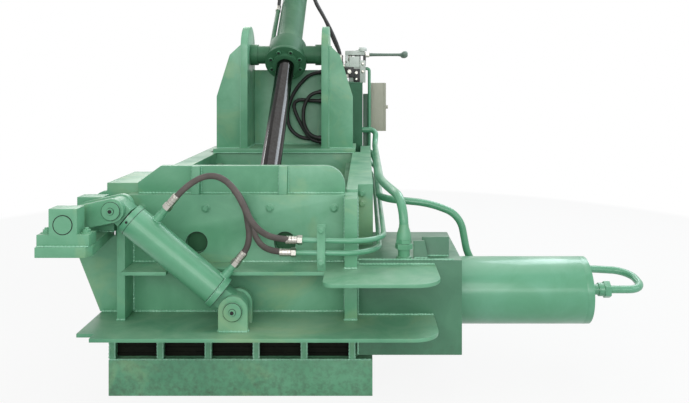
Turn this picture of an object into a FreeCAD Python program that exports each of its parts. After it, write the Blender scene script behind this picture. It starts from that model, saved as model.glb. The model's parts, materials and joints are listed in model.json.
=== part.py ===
"""Hydraulic scrap-metal baler with a press lid, two horizontal rams and a turn-out tray.

+X is to the right, +Y to the back and +Z up.  The origin is on the ground under the
centre of the press chamber.  The front wall, the turn-out gear and the shelves are on
the -Y side, the side ram is on the +X side and the main ram and power unit at the back.
"""
import FreeCAD, Part
import math
import os
import re

import Sketcher
from FreeCAD import Placement, Rotation, Vector

# ---------------------------------------------------------------- driving sizes, mm
SIZES = [
    # press chamber
    ("chamber_width", 700, "inside width, left wall to right wall"),
    ("chamber_length", 1200, "inside length, front wall to back wall"),
    ("rim_top", 675, "top edge of the side and back walls"),
    ("floor_top", 160, "top of the floor's wear plate"),
    ("liner_thick", 20, "floor wear plate"),
    ("floor_thick", 20, "structural floor plate"),
    ("channel_height", 276, "height of the rams' channel"),
    ("channel_width", 300, "width of the side ram's channel"),
    ("side_thick", 40, "inner plate of the side walls"),
    ("back_thick", 40, "back wall"),
    ("left_box_width", 45, "box girder outside the left wall"),
    ("right_box_width", 54, "box girder outside the right wall"),
    ("girder_tail", 380, "reach of the box girders behind the chamber"),
    ("girder_setback", 120, "right girder's front panel behind the front wall"),
    ("tray_backing_top", 550, "top of the backing behind the turn-out tray"),
    # front wall
    ("front_outer", 20, "outer front plate"),
    ("front_inner", 40, "inner front plate"),
    ("front_top", 666, "ledge on top of the front plates"),
    ("peep_radius", 35, "round holes in the outer front plate"),
    ("peep_left", 153, "left hole from the middle"),
    ("peep_right", 145, "right hole from the middle"),
    ("peep_height", 505, "height of the round holes"),
    ("wing_low", 479, "lower corner of the plate under the bearing table"),
    ("wing_high", 580, "upper corner of the plate under the bearing table"),
    ("arch_top", 760, "top of the arch plate"),
    ("arch_left", 361, "left end of the arch plate"),
    ("arch_right", 347, "right end of the arch plate"),
    ("arch_thick", 30, "arch plate"),
    ("arch_slope_run", 78, "slanted left corner, across"),
    ("arch_slope_drop", 57, "slanted left corner, down"),
    ("arch_round", 70, "rounded right corner"),
    ("arch_gusset_thick", 28, "gussets in front of the arch"),
    ("arch_gusset_left", 160, "left gusset from the middle"),
    ("arch_gusset_right", 137, "right gusset from the middle"),
    ("blade_bolt_height", 621, "height of the four front bolts"),
    ("blade_bolt_pitch", 216, "spacing of the four front bolts"),
    ("blade_bolt_start", 338, "first front bolt, left of the middle"),
    # shelves and ribs in front of the wall
    ("shelf_thick", 12, "both shelves"),
    ("mid_shelf_drop", 15, "middle shelf below the side ram box's top"),
    ("mid_shelf_left", 366, "left end of the middle shelf"),
    ("mid_shelf_step", 285, "where the middle shelf gets deeper"),
    ("mid_shelf_right", 650, "right end of the middle shelf"),
    ("narrow_reach", 124, "narrow part of the middle shelf from the front plate"),
    ("wide_reach", 260, "deep part of the middle shelf from the front plate"),
    ("shelf_round", 80, "outer corner of both shelves"),
    ("shelf_small_round", 35, "inner corner of the deep shelf"),
    ("lower_shelf_top", 272, "top of the lower shelf"),
    ("lower_shelf_left", 420, "left end of the lower shelf's front edge"),
    ("lower_shelf_back_left", 475, "left end of the lower shelf behind its notch"),
    ("lower_shelf_right", 645, "right end of the lower shelf"),
    ("lower_reach", 252, "lower shelf from the front plate"),
    ("lower_notch", 42, "depth of the notch at the lower shelf's left corner"),
    ("rib_reach", 86, "upright ribs from the front plate"),
    ("left_rib_width", 27, "left upright rib"),
    ("left_rib_top", 600, "top of the left rib"),
    ("right_rib_width", 42, "right upright rib"),
    ("lower_rib_thick", 14, "short ribs under the lower shelf"),
    ("lower_rib_pitch", 160, "spacing of the short ribs"),
    # base frame
    ("rail_overhang", 50, "rails outside the side walls"),
    ("base_tail", 50, "rails behind the main cylinder"),
    ("rail_flange", 65, "rail flange"),
    ("rail_web", 9, "wall of rails and cross members"),
    ("skirt_reach", 90, "front beam from the chamber's front face"),
    ("skirt_depth", 50, "depth of the front beam"),
    ("cross_flange", 60, "cross member flange"),
    ("cross_rear", 190, "last cross member before the rails' rear end"),
    ("lug_thick", 15, "anchor lugs"),
    ("lug_reach", 64, "anchor lugs beside the rails"),
    ("lug_length", 90, "length of an anchor lug"),
    ("anchor_hole", 11, "radius of the anchor holes"),
    ("anchor_front", -200, "front anchor holes along the base"),
    ("anchor_rear", 1400, "rear anchor holes along the base"),
    # rams
    ("ram_gap", 2, "clearance round both ram heads"),
    ("ram_floor_gap", 1, "clearance under both ram heads"),
    ("barrel_rise", 14.5, "main cylinder above the base frame"),
    ("main_head_length", 380, "main ram head"),
    ("main_box_length", 460, "main ram box behind the chamber"),
    ("box_end_thick", 25, "end plates of the ram boxes"),
    ("box_roof", 18, "top plates of the ram boxes"),
    ("main_barrel_radius", 149.5, "main cylinder, outside"),
    ("main_barrel_wall", 24.5, "wall of the main cylinder"),
    ("main_barrel_length", 1025, "main cylinder"),
    ("main_rod_radius", 80, "main piston rod"),
    ("main_piston_thick", 60, "main piston"),
    ("main_cap_thick", 40, "main cylinder's rear cap"),
    ("gland_thick", 40, "gland inside the horizontal cylinders"),
    ("side_head_length", 330, "side ram head"),
    ("side_box_length", 348, "side ram box outside the right wall"),
    ("side_box_reach", 94, "side ram box in front of the chamber's front face"),
    ("side_box_wall", 40, "rear wall of the side ram box"),
    ("side_box_floor", 22, "bottom plate of the side ram box"),
    ("side_barrel_radius", 119, "side cylinder, outside"),
    ("side_barrel_wall", 20, "wall of the side cylinder"),
    ("side_barrel_length", 484, "side cylinder"),
    ("side_rod_radius", 60, "side piston rod"),
    ("side_piston_thick", 40, "side piston"),
    ("side_gland_thick", 26, "side cylinder's gland"),
    ("side_cap_thick", 25, "side cylinder's end cap"),
    ("side_union_length", 92, "pipe union on that cap"),
    ("seal_gap", 0.3, "radial gap at pistons and rods"),
    ("pin_gap", 0.1, "radial running clearance of hinge pins"),
    # tower and lid cylinder
    ("tower_width", 730, "tower base plate"),
    ("tower_depth", 310, "tower base plate, front to back"),
    ("tower_lap", 10, "tower base plate over the chamber's end"),
    ("tower_base_thick", 22, "tower base plate"),
    ("ear_inside", 190, "inner face of each ear from the middle"),
    ("ear_thick", 36, "tower ears"),
    ("ear_depth", 250, "tower ears, front to back"),
    ("trunnion_behind", 125, "trunnion axis behind the chamber"),
    ("trunnion_z", 1183, "height of the trunnion axis"),
    ("ear_crown", 25, "crown of the ears above the trunnion axis"),
    ("wing_outer", 352, "outer edge of the tower wings"),
    ("wing_thick", 18, "tower wings"),
    ("wing_setback", 15, "wings behind the ears' front edge"),
    ("wing_shoulder", 965, "height where the wings start to slant"),
    ("wing_knee", 1180, "height of the upper bend of the wings"),
    ("wing_knee_x", 285, "upper bend of the wings from the middle"),
    ("wing_top", 1235, "top of the wings at the ears"),
    ("tower_back_top", 1104, "top of the plate between the ears"),
    ("tower_back_thick", 18, "plate between the ears"),
    ("trunnion_radius", 47.5, "trunnion pins"),
    ("trunnion_reach", 238, "trunnion pins from the middle"),
    ("collar_radius", 55, "collars on the trunnion pins"),
    ("collar_length", 36, "collars on the trunnion pins"),
    ("trunnion_head_radius", 100, "head between the trunnion pins"),
    ("trunnion_head_half", 60, "half length of that head"),
    ("lid_barrel_radius", 70, "lid cylinder, outside"),
    ("lid_barrel_wall", 10, "wall of the lid cylinder"),
    ("lid_barrel_rear", 700, "lid cylinder behind its trunnion"),
    ("lid_cap_thick", 24, "lid cylinder's rear cap"),
    ("lid_pipe_radius", 12, "steel pipe along the lid cylinder"),
    ("lid_flange_radius", 107.5, "bolted gland flange"),
    ("lid_flange_thick", 20, "bolted gland flange"),
    ("lid_boss_radius", 69, "gland boss"),
    ("lid_boss_length", 20, "gland boss"),
    ("lid_screw_circle", 81, "radius of the gland's screw circle"),
    ("lid_screw_radius", 10, "socket screw heads"),
    ("lid_screw_height", 9, "socket screw heads"),
    ("lid_rod_radius", 45, "lid piston rod"),
    ("lid_piston_thick", 50, "lid piston"),
    ("lid_piston_rest", 20, "piston behind the trunnion with the lid shut"),
    ("lid_eye_radius", 50, "rod eye"),
    ("lid_eye_width", 70, "rod eye"),
    # lid
    ("lid_side_gap", 5, "lid to the right wall"),
    ("lid_tray_gap", 18, "lid to the left wall, clear of the tray as it tips in"),
    ("lid_front_gap", 12, "lid to front wall"),
    ("lid_rear_gap", 15, "lid to back wall"),
    ("lid_channel_gap", 14, "lid above the rams' channel"),
    ("lid_plate_thick", 25, "lid bottom plate"),
    ("lid_hinge_inset", 55, "lid hinge in front of the chamber's rear end"),
    ("lid_hinge_z", 590, "height of the lid hinge"),
    ("lid_hinge_pin", 30, "radius of the hinge pins"),
    ("lid_hub_radius", 38, "hubs round the hinge pins"),
    ("lid_rib_thick", 27, "outer lid ribs"),
    ("lid_rib_front", 40, "height of the ribs at the front"),
    ("lid_mid_rib_thick", 14, "inner lid ribs"),
    ("lid_mid_rib_x", 190, "inner lid ribs from the middle"),
    ("lid_pin_reach", 605, "rod pin in front of the lid hinge"),
    ("lid_pin_z", 574, "height of the rod pin"),
    ("lid_pin_radius", 30, "rod pin"),
    ("lug_gap", 2, "lid lugs beside the rod eye"),
    ("lid_lug_thick", 25, "lid lugs"),
    ("lid_lug_radius", 45, "round head of the lid lugs"),
    # turn-out tray
    ("tray_gap", 2, "tray to its neighbours"),
    ("tray_floor_gap", 1, "tray above the structural floor"),
    ("tray_wall", 30, "upright wall of the tray"),
    ("tray_bevel", 28, "slope of the tray's tip"),
    ("tray_wall_rise", 26, "top of the tray's wall above the shaft"),
    ("shaft_reach", 131, "turn-out shaft left of the chamber"),
    ("shaft_rise", 65, "turn-out shaft above the bearing table"),
    ("shaft_radius", 27.5, "turn-out shaft"),
    ("hub_radius", 45, "tray arms round the shaft"),
    ("tray_arm_thick", 26, "tray arms"),
    ("tray_cap_rise", 73, "top of the block over the arms above the shaft"),
    ("table_bottom", 528, "underside of the bearing table"),
    ("table_thick", 31, "bearing table"),
    ("table_reach_left", 127, "bearing table left of the box girder"),
    ("table_reach", 300, "bearing table in front of the front plate"),
    ("block_width", 84, "bearing housings"),
    ("block_rise", 48, "top of the bearing housings above the shaft"),
    ("foot_width", 156, "feet of the bearing housings"),
    ("foot_height", 36, "feet of the bearing housings"),
    ("front_block_depth", 60, "front bearing housing"),
    ("front_block_setback", 6, "front bearing housing behind the table's edge"),
    ("rear_block_reach", 84, "rear bearing housing from the front plate"),
    ("far_block_gap", 8, "far bearing housing behind the tray"),
    ("bolt_radius", 12, "hexagon bolt heads, to a corner"),
    ("bolt_height", 10, "hexagon bolt heads"),
    # turn-out lever and cylinder
    ("lever_across", 110, "lever pin right of the shaft"),
    ("lever_up", 24, "lever pin above the shaft"),
    ("turn_across", 376, "cylinder's base pin right of the lever pin"),
    ("clevis_rise", 64, "base pin above the lower shelf"),
    ("turn_reach", 142, "turn-out cylinder in front of the front plate"),
    ("lever_radius", 37, "half width of the lever plates"),
    ("lever_thick", 20, "lever plates"),
    ("rod_eye_width", 64, "turn-out rod eye"),
    ("rod_eye_radius", 33, "turn-out rod eye"),
    ("eye_gap", 2, "rod eye beside the lever plates"),
    ("cap_disc_radius", 30, "round caps on the pins"),
    ("cap_disc_thick", 8, "round caps on the pins"),
    ("turn_pin_radius", 20, "lever pin and base pin"),
    ("turn_barrel_radius", 50, "turn-out cylinder, outside"),
    ("turn_barrel_wall", 9, "wall of the turn-out cylinder"),
    ("turn_barrel_start", 62, "barrel from the base pin"),
    ("turn_barrel_end", 440, "barrel from the base pin"),
    ("turn_ring_radius", 54, "ring at the barrel's base"),
    ("turn_ring_length", 18, "ring at the barrel's base"),
    ("turn_rod_radius", 25, "turn-out piston rod"),
    ("turn_piston_start", 84, "turn-out piston from the base pin"),
    ("turn_piston_thick", 35, "turn-out piston"),
    ("clevis_ear_width", 92, "clevis ears on the lower shelf"),
    ("clevis_ear_thick", 22, "clevis ears on the lower shelf"),
    ("base_eye_width", 60, "eye at the barrel's base"),
    ("base_eye_radius", 38, "eye at the barrel's base"),
    ("port_near", 88, "port at the barrel's base"),
    ("port_far", 368, "port at the barrel's rod end"),
    ("port_radius", 14, "port bosses"),
    ("port_boss", 26, "port bosses"),
    ("fitting_radius", 11, "hose fittings"),
    ("fitting_length", 22, "hose fittings"),
    ("hose_radius", 10, "hydraulic hoses"),
    ("hose_gap", 0.3, "hoses clear of the fittings that they swing on"),
    ("thin_pipe_radius", 8.8, "steel pipes of the turn-out cylinder"),
    ("thick_pipe_radius", 15.5, "steel pipe into the side ram box"),
    ("mid_pipe_radius", 14, "steel pipe to the side cylinder's end"),
    ("clamp_x", 275, "pipe clamp"),
    ("clamp_reach", 120, "pipe clamp in front of the front plate"),
    ("clamp_top", 588, "top of the pipe clamp"),
    # power unit
    ("deck_gap", 6, "deck beams above the main ram box"),
    ("deck_beam", 40, "deck beams"),
    ("deck_inset", 95, "inner side of the deck beams from the rails' edge"),
    ("deck_width", 60, "deck beams and legs"),
    ("leg_gap", 40, "front legs behind the main ram box"),
    ("tank_left", 360, "left face of the oil tank"),
    ("tank_right", 400, "right face of the oil tank"),
    ("tank_gap", 5, "oil tank behind the box girders"),
    ("tank_depth", 450, "oil tank, front to back"),
    ("tank_height", 540, "oil tank"),
    ("tank_wall", 5, "sheet of the oil tank"),
    ("post_gap", 3, "cabinet posts beside the oil tank"),
    ("post_width", 42, "cabinet posts"),
    ("post_height", 460, "cabinet posts above the deck"),
    ("post_setback", 40, "front cabinet post behind the front legs"),
    ("motor_radius", 125, "electric motor"),
    ("motor_length", 340, "electric motor"),
    ("motor_rise", 165, "motor's axis above the deck"),
    ("pump_length", 175, "pump and bell housing between tank and motor"),
    ("cabinet_gap", 6, "spacer rails behind the switch cabinet"),
    ("cabinet_depth", 89, "switch cabinet"),
    ("cabinet_setback", 40, "switch cabinet behind the front post's face"),
    ("cabinet_length", 300, "switch cabinet"),
    ("cabinet_rise", 244, "bottom of the switch cabinet above the deck"),
    ("cabinet_height", 286, "switch cabinet"),
    ("door_thick", 14, "cabinet door"),
    # control valve
    ("valve_left", 300, "valve block"),
    ("valve_width", 110, "valve block"),
    ("valve_setback", 5, "first valve section behind the tank's front"),
    ("section_pitch", 42, "valve sections"),
    ("valve_rise", 35, "valve sections above the oil tank"),
    ("valve_height", 84, "valve sections"),
    ("lever_pivot_out", 22, "lever pivots right of the valve sections"),
    ("lever_pivot_up", 36, "lever pivots above the valve sections"),
    ("hand_lever_length", 190, "hand lever rods"),
    ("hand_lever_radius", 8, "hand lever rods"),
    ("knob_radius", 19, "lever knobs"),
]

doc = FreeCAD.newDocument("baler")
sheet = doc.addObject("Spreadsheet::Sheet", "Sizes")
for row, (alias, size, meaning) in enumerate(SIZES, 1):
    sheet.set(f"A{row}", alias)
    sheet.set(f"B{row}", str(size))
    sheet.set(f"C{row}", meaning)
    sheet.setAlias(f"B{row}", alias)
doc.recompute()
NAMES = {alias for alias, size, meaning in SIZES}
NODES = {}

# places that several pieces share, worked out from the sizes
FRONT = "(-chamber_length / 2)"
BACK = "(chamber_length / 2)"
LEFT = "(-chamber_width / 2)"
RIGHT = "(chamber_width / 2)"
OUTER_LEFT = f"({LEFT} - side_thick)"
OUTER_RIGHT = f"({RIGHT} + side_thick)"
BASE_TOP = "(floor_top - liner_thick - floor_thick)"
CHANNEL_TOP = "(floor_top + channel_height)"
CHANNEL_BACK = f"({FRONT} + channel_width)"
FACE = f"({FRONT} - front_inner - front_outer)"
BOX_TOP = f"({CHANNEL_TOP} + box_roof)"
GIRDER_LEFT = f"({OUTER_LEFT} - left_box_width)"
GIRDER_RIGHT = f"({OUTER_RIGHT} + right_box_width)"
GIRDER_BACK = f"({BACK} + girder_tail)"
TABLE_TOP = "(table_bottom + table_thick)"
LID_BOTTOM = f"({CHANNEL_TOP} + lid_channel_gap)"
LID_TOP = f"({LID_BOTTOM} + lid_plate_thick)"
TOWER_FLOOR = "(rim_top + tower_base_thick)"
MAIN_END = f"({BACK} + main_box_length)"
BARREL_END = f"({MAIN_END} - box_end_thick + main_barrel_length)"
BASE_HALF = f"({OUTER_RIGHT} + rail_overhang)"
BASE_REAR = f"({BARREL_END} + base_tail)"
RAM_AXIS = f"({BASE_TOP} + main_barrel_radius + barrel_rise)"
MAIN_END_TOP = f"(max({BOX_TOP}; {RAM_AXIS} + main_barrel_radius + barrel_rise))"
MAIN_BORE = "(main_barrel_radius - main_barrel_wall)"
SIDE_BORE = "(side_barrel_radius - side_barrel_wall)"
LID_BORE = "(lid_barrel_radius - lid_barrel_wall)"
TURN_BORE = "(turn_barrel_radius - turn_barrel_wall)"
SIDE_AXIS_Y = f"(({FRONT} + {CHANNEL_BACK}) / 2)"
SIDE_END = f"({OUTER_RIGHT} + side_box_length)"
SIDE_BARREL_END = f"({SIDE_END} - box_end_thick + side_barrel_length)"
MID_SHELF = f"({BOX_TOP} - mid_shelf_drop)"
HINGE_Y = f"({BACK} - lid_hinge_inset)"
LID_PIN_Y = f"({HINGE_Y} - lid_pin_reach)"
TRUNNION_Y = f"({BACK} + trunnion_behind)"
LID_REACH = f"sqrt(({TRUNNION_Y} - {LID_PIN_Y})^2 + (trunnion_z - lid_pin_z)^2)"
LID_TILT = f"atan2(trunnion_z - lid_pin_z; {TRUNNION_Y} - {LID_PIN_Y})"
SHAFT_X = f"({LEFT} - shaft_reach)"
SHAFT_Z = f"({TABLE_TOP} + shaft_rise)"
TRAY_WALL_TOP = f"({SHAFT_Z} + tray_wall_rise)"
PIN_X = f"({SHAFT_X} + lever_across)"
PIN_Z = f"({SHAFT_Z} + lever_up)"
CLEVIS_X = f"({PIN_X} + turn_across)"
CLEVIS_Z = "(lower_shelf_top + clevis_rise)"
TURN_Y = f"({FACE} - turn_reach)"
TURN_REACH = f"sqrt(turn_across^2 + ({PIN_Z} - {CLEVIS_Z})^2)"
TURN_TILT = f"atan2({PIN_Z} - {CLEVIS_Z}; -turn_across)"
LEVER_REACH = "sqrt(lever_across^2 + lever_up^2)"
LEVER_TILT = "atan2(lever_up; lever_across)"
TABLE_FRONT = f"({FACE} - table_reach)"
TABLE_LEFT = f"({GIRDER_LEFT} - table_reach_left)"
FRONT_BLOCK = f"({TABLE_FRONT} + front_block_setback)"
REAR_BLOCK = f"({FACE} - rear_block_reach)"
FAR_BLOCK = f"({CHANNEL_BACK} + far_block_gap)"
CLAMP_Y = f"({FACE} - clamp_reach)"
DECK_BOTTOM = f"(max({MAIN_END_TOP}; {RAM_AXIS} + main_barrel_radius) + deck_gap)"
DECK_TOP = f"({DECK_BOTTOM} + deck_beam)"
DECK_INNER = f"({BASE_HALF} - deck_inset)"
LEG_FRONT = f"({MAIN_END} + leg_gap)"
TANK_FRONT = f"({GIRDER_BACK} + tank_gap)"
TANK_BACK = f"({TANK_FRONT} + tank_depth)"
TANK_TOP = f"({DECK_TOP} + tank_height)"
POST_LEFT = "(tank_right + post_gap)"
POST_FRONT = f"({LEG_FRONT} + post_setback)"
POST_TOP = f"({DECK_TOP} + post_height)"
MOTOR_FRONT = f"({TANK_BACK} + pump_length)"
MOTOR_END = f"({MOTOR_FRONT} + motor_length)"
MOTOR_AXIS = f"({DECK_TOP} + motor_rise)"
CABINET_LEFT = f"({POST_LEFT} + post_width + cabinet_gap)"
CABINET_FRONT = f"({POST_FRONT} + cabinet_setback)"
CABINET_BOTTOM = f"({DECK_TOP} + cabinet_rise)"
VALVE_RIGHT = "(valve_left + valve_width)"
VALVE_FRONT = f"({TANK_FRONT} + valve_setback)"
VALVE_BOTTOM = f"({TANK_TOP} + valve_rise)"
VALVE_TOP = f"({VALVE_BOTTOM} + valve_height)"
PIVOT_X = f"({VALVE_RIGHT} + lever_pivot_out)"
PIVOT_Z = f"({VALVE_TOP} + lever_pivot_up)"


# ---------------------------------------------------------------- building blocks
def tie(text):
    """The expression with each size's name pointed at its cell in the sheet."""
    return re.sub(r"[A-Za-z_]\w*", lambda m: f"Sizes.{m[0]}" if m[0] in NAMES else m[0], str(text))


def number(alias):
    return float(getattr(sheet, alias))


def worked_out(text):
    """A shared place as a plain number, for the pipes' and hoses' points."""
    return float(sheet.evalExpression(tie(text)))


def keep(label, thing):
    """Name a finished sub-part; its label becomes its file's name."""
    thing.Label = label
    NODES[label] = thing
    return thing


def bind(thing, **ties):
    for path, text in ties.items():
        thing.setExpression(path.replace("__", "."), tie(text))
    return thing


def seat(thing, x="0", y="0", z="0", axis=None, angle=None):
    """Place a piece; an angle turns it about axis first."""
    if axis:
        thing.Placement = Placement(Vector(0, 0, 0), Rotation(axis, 1))
        thing.setExpression("Placement.Rotation.Angle", tie(angle))
    return bind(thing, Placement__Base__x=x, Placement__Base__y=y, Placement__Base__z=z)


def box(x, y, z):
    """A block between two places along each axis."""
    block = doc.addObject("Part::Box", "block")
    bind(block, Length=f"({x[1]}) - ({x[0]})", Width=f"({y[1]}) - ({y[0]})",
         Height=f"({z[1]}) - ({z[0]})")
    return seat(block, x[0], y[0], z[0])


TURNS = {
    "x": Rotation(Vector(0, 1, 0), 90),
    "y": Rotation(Vector(1, 0, 0), -90),
    "z": Rotation(),
}


def bar(along, start, length, radius):
    """A round bar from start, running up one axis."""
    round_bar = doc.addObject("Part::Cylinder", "bar")
    round_bar.Placement = Placement(Vector(0, 0, 0), TURNS[along])
    bind(round_bar, Radius=radius, Height=length)
    return bind(round_bar, Placement__Base__x=start[0], Placement__Base__y=start[1],
                Placement__Base__z=start[2])


def hexagon(along, start, length, radius):
    """A hexagon bolt head or nut from start, running up one axis."""
    prism = doc.addObject("Part::Prism", "hexagon")
    prism.Polygon = 6
    prism.Placement = Placement(Vector(0, 0, 0), TURNS[along])
    bind(prism, Circumradius=radius, Height=length)
    return bind(prism, Placement__Base__x=start[0], Placement__Base__y=start[1],
                Placement__Base__z=start[2])


def fuse(*pieces):
    welded = doc.addObject("Part::MultiFuse", "welded")
    welded.Shapes = list(pieces)
    welded.Refine = True
    return welded


def cut(base, *tools):
    holed = doc.addObject("Part::Cut", "holed")
    holed.Base = base
    holed.Tool = tools[0] if len(tools) == 1 else fuse(*tools)
    holed.Refine = True
    return holed


def group(*pieces):
    """Like pieces that stay separate solids in one node."""
    several = doc.addObject("Part::Compound", "several")
    several.Links = list(pieces)
    return several


def pin_point(sketch, shape, point, u, v):
    for kind, text in (("DistanceX", u), ("DistanceY", v)):
        number_of = sketch.addConstraint(Sketcher.Constraint(kind, -1, 1, shape, point, 1.0))
        sketch.setExpression(f"Constraints[{number_of}]", tie(text))


def draw_outline(sketch, corners):
    """A closed outline whose corners are bound to the sheet."""
    count = len(corners)
    first = sketch.GeometryCount
    turn = 2 * math.pi / count
    start = [Vector(100 * math.cos(turn * i), 100 * math.sin(turn * i), 0) for i in range(count)]
    for i in range(count):
        sketch.addGeometry(Part.LineSegment(start[i], start[(i + 1) % count]), False)
    for i in range(count):
        sketch.addConstraint(
            Sketcher.Constraint("Coincident", first + i, 2, first + (i + 1) % count, 1))
    for i, (u, v) in enumerate(corners):
        pin_point(sketch, first + i, 1, u, v)


def draw_hole(sketch, u, v, radius):
    circle = sketch.addGeometry(Part.Circle(Vector(0, 0, 0), Vector(0, 0, 1), 3.0), False)
    pin_point(sketch, circle, 3, u, v)
    rule = sketch.addConstraint(Sketcher.Constraint("Radius", circle, 3.0))
    sketch.setExpression(f"Constraints[{rule}]", tie(radius))


def new_sketch(body, role):
    sketch = body.newObject("Sketcher::SketchObject", "outline")
    plane = next(f for f in body.Origin.OriginFeatures if f.Role == role)
    sketch.AttachmentSupport = [(plane, "")]
    sketch.MapMode = "FlatFace"
    return sketch


PADS = {"XY_Plane": "z", "XZ_Plane": "y", "YZ_Plane": "x"}


def plate(role, corners, span, holes=(), windows=(), rounds=None):
    """A plate cut to an outline, between two places across its plane.

    rounds maps the number of a corner to the radius it is rounded with.
    """
    body = doc.addObject("PartDesign::Body", "plate")
    sketch = new_sketch(body, role)
    draw_outline(sketch, corners)
    for u, v, radius in holes:
        draw_hole(sketch, u, v, radius)
    for window in windows:
        draw_outline(sketch, window)
    pad = body.newObject("PartDesign::Pad", "thickness")
    pad.Profile = sketch
    pad.Reversed = role == "XZ_Plane"
    bind(pad, Length=f"({span[1]}) - ({span[0]})")
    doc.recompute()
    for corner, radius in (rounds or {}).items():
        round_corner(body, sketch.getPoint(corner, 1), PADS[role], radius)
    return bind(body, **{f"Placement__Base__{PADS[role]}": span[0]})


def round_corner(body, corner, across, radius):
    """Round the plate's edge that stands on one corner of its outline."""
    flat = {"z": ("x", "y"), "y": ("x", "z"), "x": ("y", "z")}[across]
    for index, edge in enumerate(body.Tip.Shape.Edges, 1):
        ends = [vertex.Point for vertex in edge.Vertexes]
        if len(ends) == 2 and all(
            abs(getattr(end, flat[0]) - corner.x) < 0.01
            and abs(getattr(end, flat[1]) - corner.y) < 0.01
            for end in ends
        ):
            square = body.Tip
            rounding = body.newObject("PartDesign::Fillet", "rounding")
            rounding.Base = (square, [f"Edge{index}"])
            bind(rounding, Radius=radius)
            body.Tip = rounding
            doc.recompute()
            return
    raise RuntimeError("no edge stands on this corner")


def turned(role, profile):
    """A turned piece: (along, radius) corners spun about the plane's first axis."""
    body = doc.addObject("PartDesign::Body", "turned")
    sketch = new_sketch(body, role)
    draw_outline(sketch, profile)
    spin = body.newObject("PartDesign::Revolution", "spin")
    spin.Profile = sketch
    spin.ReferenceAxis = (sketch, ["H_Axis"])
    spin.Angle = 360
    return body


def tube_shape(points, radius):
    """A tube on straight runs joined by tangent arcs, as large as the runs allow."""
    spots = [Vector(*p) for p in points]
    edges = []
    radii = []
    last = spots[0]
    for before, here, after in zip(spots, spots[1:], spots[2:]):
        into = (here - before).normalize()
        away = (after - here).normalize()
        turn = into.getAngle(away)
        trim = 0.45 * min((here - before).Length, (after - here).Length)
        start = here - into * trim
        end = here + away * trim
        bend = trim / math.tan(turn / 2)
        radii.append(bend)
        towards = (away - into).normalize()
        middle = here + towards * (bend / math.cos(turn / 2) - bend)
        edges.append(Part.LineSegment(last, start).toShape())
        edges.append(Part.Arc(start, middle, end).toShape())
        last = end
    edges.append(Part.LineSegment(last, spots[-1]).toShape())
    path = Part.Wire(edges)
    first = (spots[1] - spots[0]).normalize()
    ring = Part.Wire([Part.Circle(spots[0], first, radius).toShape()])
    solid = path.makePipeShell([ring], True, False)
    return solid, path.Length, min(radii)


def draw_back(points, gap):
    """The route with both its ends drawn back along their runs."""
    first, second, *rest = [Vector(*p) for p in points]
    before, last = rest[-2:]
    first += (second - first).normalize() * gap
    last += (before - last).normalize() * gap
    return [first, second, *rest[:-1], last]


def tubes(label, routes, radius, origin=(0, 0, 0), gap=0):
    """Hoses or pipes that share one node, their points measured from origin."""
    solids = []
    for points in routes:
        placed = [[at + shift for at, shift in zip(point, origin)] for point in points]
        placed = draw_back(placed, gap)
        solid, length, tightest = tube_shape(placed, radius)
        share = solid.Volume / (math.pi * radius ** 2 * length)
        print(f"{label}: length {length:.0f}, tightest bend {tightest:.0f}, volume {share:.3f}")
        solids.append(solid)
    feature = doc.addObject("Part::Feature", "tube")
    feature.Shape = solids[0] if len(solids) == 1 else Part.makeCompound(solids)
    return keep(label, feature)


# ---------------------------------------------------------------- base
def rail(side):
    edge = f"{side} * {BASE_HALF}"
    lip = f"{side} * ({BASE_HALF} - rail_flange)"
    web = f"{side} * ({BASE_HALF} - rail_web)"
    corners = [
        (edge, "0"), (edge, BASE_TOP), (lip, BASE_TOP), (lip, f"{BASE_TOP} - rail_web"),
        (web, f"{BASE_TOP} - rail_web"), (web, "rail_web"), (lip, "rail_web"), (lip, "0"),
    ]
    return plate("XZ_Plane", corners, (f"{FRONT} - skirt_reach + skirt_depth", BASE_REAR))


def cross_channel(front, depth, half_length):
    """A channel across the machine, its web to the front."""
    back = f"({front}) + {depth}"
    web = f"({front}) + rail_web"
    corners = [
        (front, "0"), (back, "0"), (back, "rail_web"), (web, "rail_web"),
        (web, f"{BASE_TOP} - rail_web"), (back, f"{BASE_TOP} - rail_web"),
        (back, BASE_TOP), (front, BASE_TOP),
    ]
    return plate("YZ_Plane", corners, (f"-({half_length})", half_length))


def anchor_lug(side, along):
    inner = f"{side} * {BASE_HALF}"
    outer = f"{side} * ({BASE_HALF} + lug_reach)"
    middle = f"{side} * ({BASE_HALF} + lug_reach / 2)"
    front = f"{along} - lug_length / 2"
    back = f"{along} + lug_length / 2"
    corners = [(inner, front), (outer, front), (outer, back), (inner, back)]
    return plate("XY_Plane", corners, ("0", "lug_thick"), [(middle, along, "anchor_hole")])


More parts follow.
